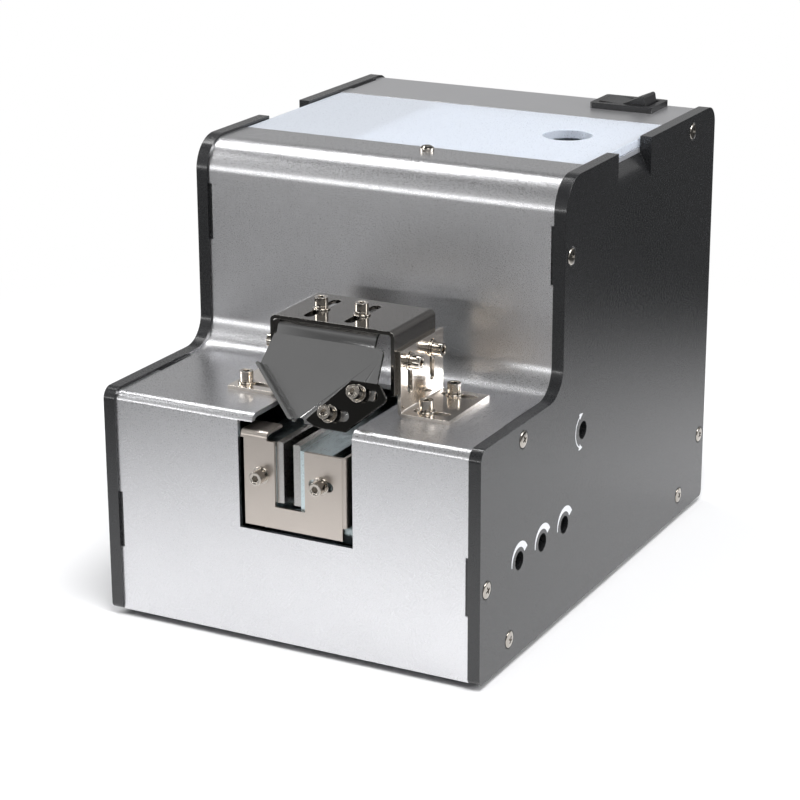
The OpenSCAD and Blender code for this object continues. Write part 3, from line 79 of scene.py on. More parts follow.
@dataclass(frozen=True)
class Finish:
    """One surface finish, built once as a node material.

    Attributes:
        name: the material's name.
        colour: base colour, linear.
        roughness: middle roughness.
        metallic: 1 for bare metal, 0 for paint, rubber and plastic.
        grain: the pattern that breaks up the light.
        grain_mm: size of one grain.
        relief: strength of the bump, from 0 to 1.
        mottle: how far large soft clouds change the colour.
        scatter: how far roughness varies from its middle value.
        coat: strength of a clear layer on top.
        transmission: share of the light that passes through.
        stretch: how much longer a brushed grain is along its axis.
        along: axis of a brushed grain, 0 for X, 1 for Y, 2 for Z.
    """

    name: str
    colour: Colour
    roughness: float
    metallic: float = 0.0
    grain: Grain = Grain.NONE
    grain_mm: float = 0.4
    relief: float = 0.1
    mottle: float = 0.03
    scatter: float = 0.05
    coat: float = 0.0
    transmission: float = 0.0
    stretch: float = 30.0
    along: int = 0

    def material(self) -> bpy.types.Material:
        """Builds the node material, or returns the one that was built before.

        Returns:
            The material with this finish.
        """
        title = self.name + "_finish"
        known = bpy.data.materials.get(title)
        if known is not None:
            return known
        made = bpy.data.materials.new(title)
        made.use_nodes = True
        tree = made.node_tree
        shader = tree.nodes["Principled BSDF"]
        shader.inputs["Metallic"].default_value = self.metallic
        shader.inputs["Coat Weight"].default_value = self.coat
        shader.inputs["Coat Roughness"].default_value = 0.12
        shader.inputs["Transmission Weight"].default_value = self.transmission
        place = tree.nodes.new("ShaderNodeTexCoord")
        self._cloud_colour(tree, place, shader)
        if self.grain is Grain.NONE:
            shader.inputs["Roughness"].default_value = self.roughness
        else:
            self._grain(tree, place, shader)
        return made

    def _cloud_colour(self, tree: bpy.types.NodeTree, place: bpy.types.Node, shader: bpy.types.Node) -> None:
        """Lets the colour drift a little over the surface.

        Args:
            tree: the material's nodes.
            place: its texture coordinates.
            shader: its surface shader.
        """
        cloud = tree.nodes.new("ShaderNodeTexNoise")
        cloud.inputs["Scale"].default_value = 38.0
        cloud.inputs["Detail"].default_value = 4.0
        tree.links.new(place.outputs["Object"], cloud.inputs["Vector"])
        ramp = tree.nodes.new("ShaderNodeValToRGB")
        ramp.color_ramp.elements[0].position = 0.3
        ramp.color_ramp.elements[1].position = 0.7
        for stop, factor in ((0, 1 - self.mottle), (1, 1 + self.mottle)):
            shade = [min(1.0, channel * factor) for channel in self.colour]
            ramp.color_ramp.elements[stop].color = (*shade, 1.0)
        tree.links.new(cloud.outputs["Fac"], ramp.inputs["Fac"])
        tree.links.new(ramp.outputs["Color"], shader.inputs["Base Color"])

    def _grain(self, tree: bpy.types.NodeTree, place: bpy.types.Node, shader: bpy.types.Node) -> None:
        """Adds the fine grain, to the roughness and as a bump.

        Args:
            tree: the material's nodes.
            place: its texture coordinates.
            shader: its surface shader.
        """
        scale = 1.0 / (self.grain_mm * MM)
        spread = tree.nodes.new("ShaderNodeMapping")
        if self.grain is Grain.BRUSHED:
            axes = [1.0, 1.0, 1.0]
            axes[self.along] = 1.0 / self.stretch
            spread.inputs["Scale"].default_value = axes
        tree.links.new(place.outputs["Object"], spread.inputs["Vector"])
        if self.grain is Grain.PEBBLED:
            fine = tree.nodes.new("ShaderNodeTexVoronoi")
            fine.inputs["Scale"].default_value = scale
            height = fine.outputs["Distance"]
        else:
            fine = tree.nodes.new("ShaderNodeTexNoise")
            fine.inputs["Scale"].default_value = scale
            fine.inputs["Detail"].default_value = 3.0
            fine.inputs["Roughness"].default_value = 0.62
            height = fine.outputs["Fac"]
        tree.links.new(spread.outputs["Vector"], fine.inputs["Vector"])
        gloss = tree.nodes.new("ShaderNodeMapRange")
        gloss.inputs["From Min"].default_value = 0.3
        gloss.inputs["From Max"].default_value = 0.7
        gloss.inputs["To Min"].default_value = max(0.03, self.roughness - self.scatter)
        gloss.inputs["To Max"].default_value = min(1.0, self.roughness + self.scatter)
        tree.links.new(height, gloss.inputs["Value"])
        tree.links.new(gloss.outputs["Result"], shader.inputs["Roughness"])
        bump = tree.nodes.new("ShaderNodeBump")
        bump.inputs["Strength"].default_value = self.relief
        bump.inputs["Distance"].default_value = self.grain_mm * MM * 0.35
        tree.links.new(height, bump.inputs["Height"])
        tree.links.new(bump.outputs["Normal"], shader.inputs["Normal"])


SATIN_SILVER = Finish("satin_silver", (0.66, 0.66, 0.675), 0.31, 1.0, Grain.BLASTED, 0.24, 0.20, 0.015, 0.10)
REAR_GREY = Finish("rear_grey", (0.66, 0.66, 0.675), 0.34, 0.9, Grain.POWDER, 0.3, 0.10, 0.02, 0.06)
PANEL_BLACK = Finish("panel_black", (0.013, 0.0134, 0.0145), 0.28, 0.0, Grain.POWDER, 0.35, 0.04, 0.05, 0.04,
                     coat=0.35)
BASE_BLACK = Finish("base_black", (0.02, 0.02, 0.021), 0.5, 0.0, Grain.POWDER, 0.4, 0.12)
BLACK_RUBBER = Finish("black_rubber", (0.012, 0.012, 0.012), 0.72, 0.0, Grain.POWDER, 0.5, 0.15)
NICKEL_SCREW = Finish("nickel_screw", (0.50, 0.465, 0.42), 0.08, 1.0, Grain.BLASTED, 0.25, 0.05, 0.04, 0.05)
WARM_NICKEL = Finish("warm_nickel", (0.55, 0.50, 0.455), 0.33, 1.0, Grain.BRUSHED, 0.12, 0.05, 0.03, 0.06)
BRIGHT_NICKEL = Finish("bright_nickel", (0.86, 0.80, 0.73), 0.15, 1.0, Grain.BLASTED, 0.6, 0.03, 0.04, 0.03)
# The hood's nickel colour is darkened far below bare nickel: a painted dark reflection of the dim surround on its
# mirror-like top.
HOOD_NICKEL_PAINTED_DARK = Finish("hood_nickel", (0.25, 0.24, 0.225), 0.08, 1.0, Grain.BLASTED, 0.5, 0.04, 0.03, 0.03)
GUIDE_SATIN = Finish("guide_satin", (0.42, 0.42, 0.42), 0.21, 1.0, Grain.BLASTED, 0.2, 0.06, 0.03, 0.05)
JAW_NICKEL = Finish("jaw_nickel", (0.035, 0.034, 0.032), 0.10, 1.0, Grain.BLASTED, 0.4, 0.03, 0.03, 0.03)
ZINC_BLOCK = Finish("zinc_block", (0.58, 0.67, 0.69), 0.30, 1.0, Grain.BRUSHED, 0.15, 0.08, 0.12, 0.08,
                    along=1)
RAIL_STEEL = Finish("rail_steel", (0.46, 0.45, 0.44), 0.27, 1.0, Grain.BRUSHED, 0.1, 0.06, 0.04, 0.06,
                    along=1)
FROSTED_LID = Finish("frosted_lid", (0.80, 0.85, 0.93), 0.30, 0.0, Grain.POWDER, 0.5, 0.03, 0.01, 0.04,
                     transmission=0.42)
HOPPER_GREY = Finish("hopper_grey", (0.42, 0.43, 0.46), 0.36, 0.5, Grain.POWDER, 0.4, 0.08)
SWITCH_BLACK = Finish("switch_black", (0.016, 0.016, 0.017), 0.33, 0.0, Grain.PEBBLED, 0.25, 0.05)
BOARD_GREEN = Finish("board_green", (0.015, 0.16, 0.06), 0.32, 0.0, Grain.POWDER, 0.6, 0.04, coat=0.3)
COMPONENT_BLACK = Finish("component_black", (0.02, 0.02, 0.022), 0.45, 0.0, Grain.POWDER, 0.3, 0.05)
TRIMMER_BLUE = Finish("trimmer_blue", (0.02, 0.09, 0.36), 0.35, 0.0, Grain.POWDER, 0.3, 0.04)
ROTOR_WHITE = Finish("rotor_white", (0.70, 0.68, 0.62), 0.45, 0.0, Grain.POWDER, 0.3, 0.04)
SPRING_STEEL = Finish("spring_steel", (0.34, 0.36, 0.40), 0.26, 1.0, Grain.BRUSHED, 0.15, 0.06, along=2)
CAST_GREY = Finish("cast_grey", (0.13, 0.14, 0.15), 0.55, 0.0, Grain.PEBBLED, 0.7, 0.25)
MAGNET_IRON = Finish("magnet_iron", (0.22, 0.23, 0.25), 0.42, 1.0, Grain.BRUSHED, 0.35, 0.3, along=0)
COPPER_WINDING = Finish("copper_winding", (0.52, 0.16, 0.05), 0.28, 1.0, Grain.BRUSHED, 0.2, 0.1, along=1)
MOTOR_SILVER = Finish("motor_silver", (0.46, 0.465, 0.48), 0.30, 1.0, Grain.BRUSHED, 0.2, 0.06, along=1)
GEAR_NYLON = Finish("gear_nylon", (0.72, 0.68, 0.56), 0.48, 0.0, Grain.POWDER, 0.4, 0.05)
WHEEL_PLASTIC = Finish("wheel_plastic", (0.55, 0.53, 0.44), 0.42, 0.0, Grain.POWDER, 0.4, 0.05)
BRISTLE = Finish("bristle", (0.03, 0.035, 0.045), 0.42, 0.0, Grain.POWDER, 0.2, 0.05)
BRONZE_BUSH = Finish("bronze_bush", (0.45, 0.24, 0.08), 0.30, 1.0, Grain.BRUSHED, 0.2, 0.06)
WHITE_PRINT = Finish("white_print", (0.78, 0.79, 0.82), 0.55, 0.0, Grain.POWDER, 0.2, 0.03)


# ---------------------------------------------------------------- modelling steps


class Bench:
    """Modelling steps that pieces share, all done with Blender's own operators."""

    @staticmethod
    def clear_selection() -> None:
        """Leaves edit mode and deselects every object."""
        if bpy.context.object is not None and bpy.context.object.mode != "OBJECT":
            bpy.ops.object.mode_set(mode="OBJECT")
        bpy.ops.object.select_all(action="DESELECT")

    @staticmethod
    def pick(piece: bpy.types.Object) -> None:
        """Makes one object the only selected one, and the active one."""
        Bench.clear_selection()
        piece.select_set(True)
        bpy.context.view_layer.objects.active = piece

    @staticmethod
    def settle(piece: bpy.types.Object) -> None:
        """Moves the object's place, turn and scale into its mesh."""
        Bench.pick(piece)
        bpy.ops.object.transform_apply(location=True, rotation=True, scale=True)

    @staticmethod
    def box(name: str, low: Sequence[float], high: Sequence[float]) -> bpy.types.Object:
        """Adds a cube between two corners.

        Args:
            name: the new object's name.
            low: its lowest corner.
            high: its highest corner.

        Returns:
            The new object.
        """
        Bench.clear_selection()
        low_corner, high_corner = Vector(low), Vector(high)
        bpy.ops.mesh.primitive_cube_add(size=1.0, location=(low_corner + high_corner) / 2)
        piece = bpy.context.object
        piece.name = name
        piece.scale = high_corner - low_corner
        Bench.settle(piece)
        return piece

    @staticmethod
    def rod(name: str, radius: float, length: float, sides: int = 32) -> bpy.types.Object:
        """Adds a cylinder that stands on the origin along Z.

        Args:
            name: the new object's name.
            radius: its radius.
            length: its length.
            sides: how many sides it has.

        Returns:
            The new object.
        """
        Bench.clear_selection()
        bpy.ops.mesh.primitive_cylinder_add(
            vertices=sides, radius=radius, depth=length, location=(0, 0, length / 2))
        piece = bpy.context.object
        piece.name = name
        Bench.settle(piece)
        return piece

    @staticmethod
    def select_faces(piece: bpy.types.Object, wanted: Callable[[bpy.types.MeshPolygon], bool]) -> int:
        """Selects the faces that a test wants, and enters edit mode in face mode.

        Args:
            piece: the object.
            wanted: says of each face whether it is selected.

        Returns:
            How many faces are selected.
        """
        Bench.pick(piece)
        bpy.ops.object.mode_set(mode="EDIT")
        bpy.ops.mesh.select_mode(type="FACE")
        bpy.ops.mesh.select_all(action="DESELECT")
        bpy.ops.object.mode_set(mode="OBJECT")
        count = 0
        for face in piece.data.polygons:
            face.select = bool(wanted(face))
            count += face.select
        bpy.ops.object.mode_set(mode="EDIT")
        return count

    @staticmethod
    def finish_edit() -> None:
        """Returns to object mode."""
        bpy.ops.object.mode_set(mode="OBJECT")

    @staticmethod
    def apply(piece: bpy.types.Object) -> None:
        """Applies all the modifiers of an object."""
        Bench.pick(piece)
        for modifier in list(piece.modifiers):
            bpy.ops.object.modifier_apply(modifier=modifier.name)

    @staticmethod
    def bevel(piece: bpy.types.Object, width: float, segments: int = 2, angle: float = 35.0) -> None:
        """Rounds every edge sharper than an angle, and keeps flat faces flat in the shading.

        Args:
            piece: the object.
            width: width of the rounding.
            segments: its steps.
            angle: edges sharper than this many degrees are rounded.
        """
        rounding = piece.modifiers.new("rounding", "BEVEL")
        rounding.width = width
        rounding.segments = segments
        rounding.limit_method = "ANGLE"
        rounding.angle_limit = math.radians(angle)
        rounding.use_clamp_overlap = True
        Bench.apply(piece)
        Bench.smooth(piece)

    @staticmethod
    def smooth(piece: bpy.types.Object, angle: float = 50.0) -> None:
        """Shades smoothly over edges flatter than an angle, and keeps large faces flat in the shading."""
        Bench.pick(piece)
        bpy.ops.object.shade_smooth_by_angle(angle=math.radians(angle))
        weighing = piece.modifiers.new("weighing", "WEIGHTED_NORMAL")
        weighing.mode = "FACE_AREA_WITH_ANGLE"
        weighing.weight = 100
        weighing.keep_sharp = True
        Bench.apply(piece)

    @staticmethod
    def cut(piece: bpy.types.Object, tool: bpy.types.Object) -> None:
        """Cuts one closed object out of another and removes the cutter."""
        Bench.pick(piece)
        cutting = piece.modifiers.new("cut", "BOOLEAN")
        cutting.operation = "DIFFERENCE"
        cutting.solver = "EXACT"
        cutting.object = tool
        Bench.apply(piece)
        bpy.data.objects.remove(tool)

    @staticmethod
    def join(name: str, pieces: Sequence[bpy.types.Object]) -> bpy.types.Object:
        """Joins objects into one.

        Args:
            name: the joined object's name.
            pieces: the objects.

        Returns:
            The joined object.
        """
        Bench.clear_selection()
        for piece in pieces:
            piece.select_set(True)
        bpy.context.view_layer.objects.active = pieces[0]
        if len(pieces) > 1:
            bpy.ops.object.join()
        joined = bpy.context.object
        joined.name = name
        Bench.settle(joined)
        return joined

    @staticmethod
    def repeat(model: bpy.types.Object, places: Iterable[Matrix]) -> list[bpy.types.Object]:
        """Copies a model to each place, every copy with its own mesh.

        Args:
            model: the object to copy.
            places: where each copy goes.

        Returns:
            The copies.
        """
        copies = []
        for place in places:
            copy = bpy.data.objects.new(model.name, model.data.copy())
            bpy.context.collection.objects.link(copy)
            copy.data.transform(place)
            copies.append(copy)
        return copies

    @staticmethod
    def copy_node(node: str, name: str) -> bpy.types.Object:
        """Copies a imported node's mesh, merges its loose triangles and dissolves them into flat faces.

        Args:
            node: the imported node.
            name: the new object's name.

        Returns:
            The new object, at the origin, with its place in its mesh.
        """
        mesh = frame["nodes"][node].data.copy()
        mesh.materials.clear()
        piece = bpy.data.objects.new(name, mesh)
        bpy.context.collection.objects.link(piece)
        Bench.pick(piece)
        bpy.ops.object.mode_set(mode="EDIT")
        bpy.ops.mesh.select_mode(type="VERT")
        bpy.ops.mesh.select_all(action="SELECT")
        bpy.ops.mesh.remove_doubles(threshold=2e-6)
        bpy.ops.mesh.dissolve_limited(angle_limit=math.radians(0.6))
        bpy.ops.mesh.remove_doubles(threshold=5e-5)
        bpy.ops.mesh.dissolve_limited(angle_limit=math.radians(0.6))
        bpy.ops.object.mode_set(mode="OBJECT")
        return piece

    @staticmethod
    def islands(node: str) -> list[tuple[Vector, Vector]]:
        """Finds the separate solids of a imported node.

        Args:
            node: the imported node.

        Returns:
            The lowest and highest corner of each solid.
        """
        work = bmesh.new()
        work.from_mesh(frame["nodes"][node].data)
        bmesh.ops.remove_doubles(work, verts=work.verts, dist=2e-6)
        left = set(work.verts)
        found = []
        while left:
            front = [left.pop()]
            members = list(front)
            while front:
                vertex = front.pop()
                for edge in vertex.link_edges:
                    other = edge.other_vert(vertex)
                    if other in left:
                        left.remove(other)
                        front.append(other)
                        members.append(other)
            low = Vector([min(v.co[i] for v in members) for i in range(3)])
            high = Vector([max(v.co[i] for v in members) for i in range(3)])
            found.append((low, high))
        work.free()
        return sorted(found, key=lambda pair: tuple(round(c, 5) for c in pair[0]))


def dress(piece: bpy.types.Object, finish: Finish, body: str, nodes: Sequence[str] = ()) -> None:
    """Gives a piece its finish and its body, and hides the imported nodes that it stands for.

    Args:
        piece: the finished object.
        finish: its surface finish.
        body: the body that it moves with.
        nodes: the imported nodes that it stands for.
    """
    piece.data.materials.clear()
    piece.data.materials.append(finish.material())
    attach(piece, body)
    if nodes:
        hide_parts(*nodes)
    LOG.info("%s rides on %s with %d faces", piece.name, body, len(piece.data.polygons))


def paint_node(node: str, finish: Finish) -> None:
    """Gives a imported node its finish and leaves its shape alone."""
    materials = frame["nodes"][node].data.materials
    materials.clear()
    materials.append(finish.material())
    LOG.info("%s keeps its packed shape", node)


def body_of(node: str) -> str:
    """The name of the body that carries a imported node."""
    for body, members in frame["record"]["behaviour"]["bodies"].items():
        if node in members:
            return body
    return "root"


def soften(node: str, finish: Finish, width_mm: float, segments: int = 2) -> bpy.types.Object:
    """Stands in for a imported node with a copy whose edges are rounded.

    Args:
        node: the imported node.
        finish: its surface finish.
        width_mm: width of the edge rounding.
        segments: its steps.

    Returns:
        The new piece.
    """
    piece = Bench.copy_node(node, node + "_piece")
    Bench.bevel(piece, width_mm * MM, segments)
    dress(piece, finish, body_of(node), [node])
    return piece


# ---------------------------------------------------------------- fasteners


@dataclass
class CapScrew:
    """A small cap screw with a hexagon socket, its spring washer and its flat washer, standing on z = 0."""

    head_r_mm: float = 2.15
    head_h_mm: float = 2.6
    socket_r_mm: float = 1.15
    socket_depth_mm: float = 1.5
    shank_r_mm: float = 1.25
    washer_r_mm: float = 2.75
    washer_t_mm: float = 0.45
    spring_t_mm: float = 0.8

    def model(self, below_mm: float) -> bpy.types.Object:
        """Builds the screw.

        Args:
            below_mm: how far its shank reaches below z = 0.

        Returns:
            The screw with its washers, as one object.
        """
        return Bench.join("cap_screw", [self._washer(), self._spring(), self._head(), self._shank(below_mm)])

    def _washer(self) -> bpy.types.Object:
        """The flat washer, with a rolled rim."""
        ring = Bench.rod("washer", self.washer_r_mm * MM, self.washer_t_mm * MM, 40)
        Bench.bevel(ring, 0.12 * MM, 2)
        return ring

    def _spring(self) -> bpy.types.Object:
        """The spring washer, open at its split."""
        low = self.washer_t_mm * MM
        ring = Bench.rod("spring_washer", self.head_r_mm * MM * 0.98, self.spring_t_mm * MM, 40)
        ring.data.transform(Matrix.Translation((0, 0, low)))
        gap = Bench.box("split", (0, -0.22 * MM, low - MM), (4 * MM, 0.22 * MM, low + 2 * MM))
        Bench.cut(ring, gap)
        Bench.bevel(ring, 0.14 * MM, 2)
        return ring

    def _head(self) -> bpy.types.Object:
        """The head: a turned cylinder with a crowned rim and a hexagon socket."""
        base = (self.washer_t_mm + self.spring_t_mm) * MM
        top = base + self.head_h_mm * MM
        head = Bench.rod("head", self.head_r_mm * MM, self.head_h_mm * MM, 40)
        head.data.transform(Matrix.Translation((0, 0, base)))
        Bench.select_faces(head, lambda face: face.normal.z > 0.9)
        bpy.ops.mesh.inset(thickness=0.75 * MM)
        bpy.ops.mesh.extrude_region_move(TRANSFORM_OT_translate={"value": (0, 0, -0.1 * MM)})
        Bench.finish_edit()
        Bench.clear_selection()
        bpy.ops.mesh.primitive_cylinder_add(
            vertices=6, radius=self.socket_r_mm * MM, depth=2 * self.socket_depth_mm * MM,
            location=(0, 0, top))
        Bench.cut(head, bpy.context.object)
        Bench.bevel(head, 0.3 * MM, 4, 50)
        return head

    def _shank(self, below_mm: float) -> bpy.types.Object:
        """The shank below the head, ending in a chamfer."""
        base = (self.washer_t_mm + self.spring_t_mm) * MM
        shank = Bench.rod("shank", self.shank_r_mm * MM, below_mm * MM + base, 24)
        shank.data.transform(Matrix.Translation((0, 0, -below_mm * MM)))
        Bench.bevel(shank, 0.25 * MM, 1)
        return shank


@dataclass
class HexNut:
    """A small hexagon nut with its upper face at z = 0."""

    across_mm: float = 5.0
    height_mm: float = 2.0

    def model(self) -> bpy.types.Object:
        """The nut, with chamfered corners."""
        radius = self.across_mm / 2 / math.cos(math.radians(30))
        nut = Bench.rod("nut", radius * MM, self.height_mm * MM, 6)
        nut.data.transform(Matrix.Translation((0, 0, -self.height_mm * MM)))
        Bench.bevel(nut, 0.18 * MM, 2)
        return nut


@dataclass
class CaseScrew:
    """A countersunk case screw with an oval head and a cross recess; its axis is X, its rim at x = 0."""

    rim_r_mm: float = 2.65
    crown_mm: float = 0.45
    recess_mm: float = 1.3
    recess_reach_mm: float = 1.75
    recess_w_mm: float = 0.7
    shank_r_mm: float = 1.5

    def model(self, length_mm: float) -> bpy.types.Object:
        """Builds the screw, with its crown towards +X.

        Args:
            length_mm: length of its shank.

        Returns:
            The screw as one object.
        """
        cone_mm = self.rim_r_mm - self.shank_r_mm
        head = Bench.rod("case_head", self.rim_r_mm * MM, cone_mm * MM, 40)
        head.data.transform(Matrix.Translation((0, 0, -cone_mm * MM)))
        Bench.select_faces(head, lambda face: face.normal.z < -0.9)
        bpy.ops.transform.resize(value=(self.shank_r_mm / self.rim_r_mm, self.shank_r_mm / self.rim_r_mm, 1))
        bpy.ops.mesh.extrude_region_move(
            TRANSFORM_OT_translate={"value": (0, 0, -(length_mm - cone_mm) * MM)})
        Bench.finish_edit()
        self._crown(head)
        self._cross(head)
        Bench.bevel(head, 0.07 * MM, 1, 50)
        head.data.transform(Matrix.Rotation(math.radians(90), 4, "Y"))
        return head

    def _crown(self, head: bpy.types.Object) -> None:
        """Raises the oval crown in rings, each inset and lifted less than the last."""
        rings = 5
        Bench.select_faces(head, lambda face: face.normal.z > 0.9)
        for ring in range(rings):
            inner = math.cos(math.radians(78 * (ring + 1) / rings))
            outer = math.cos(math.radians(78 * ring / rings))
            rise = math.sin(math.radians(78 * (ring + 1) / rings)) - math.sin(math.radians(78 * ring / rings))
            bpy.ops.mesh.inset(thickness=(outer - inner) * self.rim_r_mm * MM)
            bpy.ops.transform.translate(value=(0, 0, rise * self.crown_mm * MM))
        Bench.finish_edit()

    def _cross(self, head: bpy.types.Object) -> None:
        """Sinks the cross recess, narrower towards its floor."""
        for turn in (0, 90):
            slot = Bench.box("arm", (-self.recess_reach_mm * MM, -self.recess_w_mm / 2 * MM, -self.recess_mm * MM),
                             (self.recess_reach_mm * MM, self.recess_w_mm / 2 * MM, 2 * MM))
            Bench.select_faces(slot, lambda face: face.normal.z < -0.9)
            bpy.ops.transform.resize(value=(0.35, 0.7, 1))
            Bench.finish_edit()
            slot.data.transform(Matrix.Rotation(math.radians(turn), 4, "Z"))
            Bench.cut(head, slot)


@dataclass
class Fasteners:
    """All the screws and nuts that show, each modelled once and copied to its places."""

    cap: CapScrew = field(default_factory=CapScrew)
    nut: HexNut = field(default_factory=HexNut)
    case: CaseScrew = field(default_factory=CaseScrew)

    def build(self) -> None:
        """Builds every group of fasteners."""
        self._case_screws("side_screws_right", 1)
        self._case_screws("side_screws_left", -1)
        self._cap_group("bracket_screws", Vector((0, 0, 1)))
        self._cap_group("exit_screw_left", Vector((0, -1, 0)))
        self._cap_group("exit_screw_right", Vector((0, -1, 0)))
        self._cap_group("bit_guide_screws", Vector((0, 0, 1)))
        self._hood_screws()
        self._jaw_screws()

    def _case_screws(self, node: str, side: int) -> None:
        """Sets the case screws of one side panel.

        Args:
            node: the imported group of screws.
            side: 1 for the right panel, -1 for the left one.
        """
        solids = Bench.islands(node)
        length_mm = (solids[0][1].x - solids[0][0].x) / MM - self.case.crown_mm
        model = self.case.model(length_mm)
        face_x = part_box("side_panel_right")[1].x if side > 0 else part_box("side_panel_left")[0].x
        places = []
        for index, (low, high) in enumerate(solids):
            twist = Matrix.Rotation(math.radians(20 + 47 * index), 4, "X")
            turn = Matrix.Rotation(0 if side > 0 else math.pi, 4, "Z")
            middle = (low + high) / 2
            places.append(Matrix.Translation((face_x, middle.y, middle.z)) @ turn @ twist)
        self._place(model, places, node, NICKEL_SCREW)

    def _cap_group(self, node: str, up: Vector) -> None:
        """Sets cap screws, and nuts if the group has them, along one axis.

        Args:
            node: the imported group.
            up: the direction in which the heads point.
        """
        axis = max(range(3), key=lambda i: abs(up[i]))
        stack_mm = self.cap.washer_t_mm + self.cap.spring_t_mm + self.cap.head_h_mm
        screws, nuts = [], []
        for low, high in Bench.islands(node):
            is_nut = high[axis] - low[axis] < (self.nut.height_mm + 0.2) * MM
            middle = (low + high) / 2
            top = high[axis] if up[axis] > 0 else low[axis]
            foot = middle.copy()
            foot[axis] = top - up[axis] * (0 if is_nut else stack_mm * MM)
            (nuts if is_nut else screws).append((foot, (high[axis] - low[axis]) / MM - stack_mm))
        turn = up.to_track_quat("Z", "Y").to_matrix().to_4x4()
        model = self.cap.model(screws[0][1])
        made = Bench.repeat(model, [self._twisted(foot, turn, i) for i, (foot, _) in enumerate(screws)])
        bpy.data.objects.remove(model)
        if nuts:
            nut = self.nut.model()
            made += Bench.repeat(nut, [self._twisted(foot, turn, i) for i, (foot, _) in enumerate(nuts)])
            bpy.data.objects.remove(nut)
        group = Bench.join(node + "_piece", made)
        dress(group, NICKEL_SCREW, body_of(node), [node])

    @staticmethod
    def _twisted(foot: Vector, turn: Matrix, index: int) -> Matrix:
        """The place of one screw, each turned a little further than the last."""
        return Matrix.Translation(foot) @ turn @ Matrix.Rotation(math.radians(25 + 41 * index), 4, "Z")

    def _place(self, model: bpy.types.Object, places: Sequence[Matrix], node: str, finish: Finish) -> None:
        """Copies a model to its places and joins the copies into the piece for a node."""
        copies = Bench.repeat(model, places)
        bpy.data.objects.remove(model)
        group = Bench.join(node + "_piece", copies)
        dress(group, finish, body_of(node), [node])

    def _hood_screws(self) -> None:
        """Sets the side screws of the hood, whose heads point outwards on both sides, and their nuts."""
        node = "hood_screws"
        middle_x = sum(corner.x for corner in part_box("hood")) / 2
        stack_mm = self.cap.washer_t_mm + self.cap.spring_t_mm + self.cap.head_h_mm
        made = []
        model, nut = None, self.nut.model()
        for index, (low, high) in enumerate(Bench.islands(node)):
            middle = (low + high) / 2
            outwards = 1 if middle.x > middle_x else -1
            turn = Vector((outwards, 0, 0)).to_track_quat("Z", "Y").to_matrix().to_4x4()
            outer = high.x if outwards > 0 else low.x
            if high.x - low.x < (self.nut.height_mm + 0.2) * MM:
                made += Bench.repeat(nut, [self._twisted(Vector((outer, middle.y, middle.z)), turn, index)])
                continue
            if model is None:
                model = self.cap.model((high.x - low.x) / MM - stack_mm)
            foot = Vector((outer - outwards * stack_mm * MM, middle.y, middle.z))
            made += Bench.repeat(model, [self._twisted(foot, turn, index)])
        bpy.data.objects.remove(model)
        bpy.data.objects.remove(nut)
        group = Bench.join(node + "_piece", made)
        dress(group, NICKEL_SCREW, body_of(node), [node])

    def _jaw_screws(self) -> None:
        """Sets the two screws of the guide jaw, square to the slope of the guide."""
        node = "jaw_screws"
        flat = Bench.copy_node(node, "jaw_slope")
        faces = sorted(flat.data.polygons, key=lambda face: face.area, reverse=True)
        axis = next(face.normal.copy() for face in faces if face.normal.y < -0.2)
        points = [vertex.co.copy() for vertex in flat.data.vertices]
        bpy.data.objects.remove(flat)
        turn = axis.to_track_quat("Z", "Y").to_matrix().to_4x4()
        stack_mm = self.cap.washer_t_mm + self.cap.spring_t_mm + self.cap.head_h_mm
        made = []
        for index, (low, high) in enumerate(Bench.islands(node)):
            margin = Vector((1e-5, 1e-5, 1e-5))
            inside = [turn.inverted() @ p for p in points
                      if all((low - margin)[i] <= p[i] <= (high + margin)[i] for i in range(3))]
            ends = [(min(p[i] for p in inside), max(p[i] for p in inside)) for i in range(3)]
            foot = turn @ Vector(((ends[0][0] + ends[0][1]) / 2, (ends[1][0] + ends[1][1]) / 2,
                                  ends[2][1] - stack_mm * MM))
            model = self.cap.model((ends[2][1] - ends[2][0]) / MM - stack_mm)
            made += Bench.repeat(model, [self._twisted(foot, turn, index)])
            bpy.data.objects.remove(model)
        group = Bench.join(node + "_piece", made)
        dress(group, NICKEL_SCREW, body_of(node), [node])


# ---------------------------------------------------------------- sub-assemblies


@dataclass
class Case:
    """Covers, side panels, base and feet."""

    sheet_edge_mm: float = 0.22
    panel_edge_mm: float = 0.5
    foot_edge_mm: float = 0.4

    def build(self) -> None:
        """Builds the case's pieces."""
        soften("front_cover", SATIN_SILVER, self.sheet_edge_mm)
        soften("rear_cover", REAR_GREY, self.sheet_edge_mm)
        soften("side_panel_right", PANEL_BLACK, self.panel_edge_mm, 3)
        soften("side_panel_left", PANEL_BLACK, self.panel_edge_mm, 3)
        soften("base_plate", BASE_BLACK, self.sheet_edge_mm)
        soften("rubber_feet", BLACK_RUBBER, self.foot_edge_mm)
        soften("cover_screw", NICKEL_SCREW, 0.12)


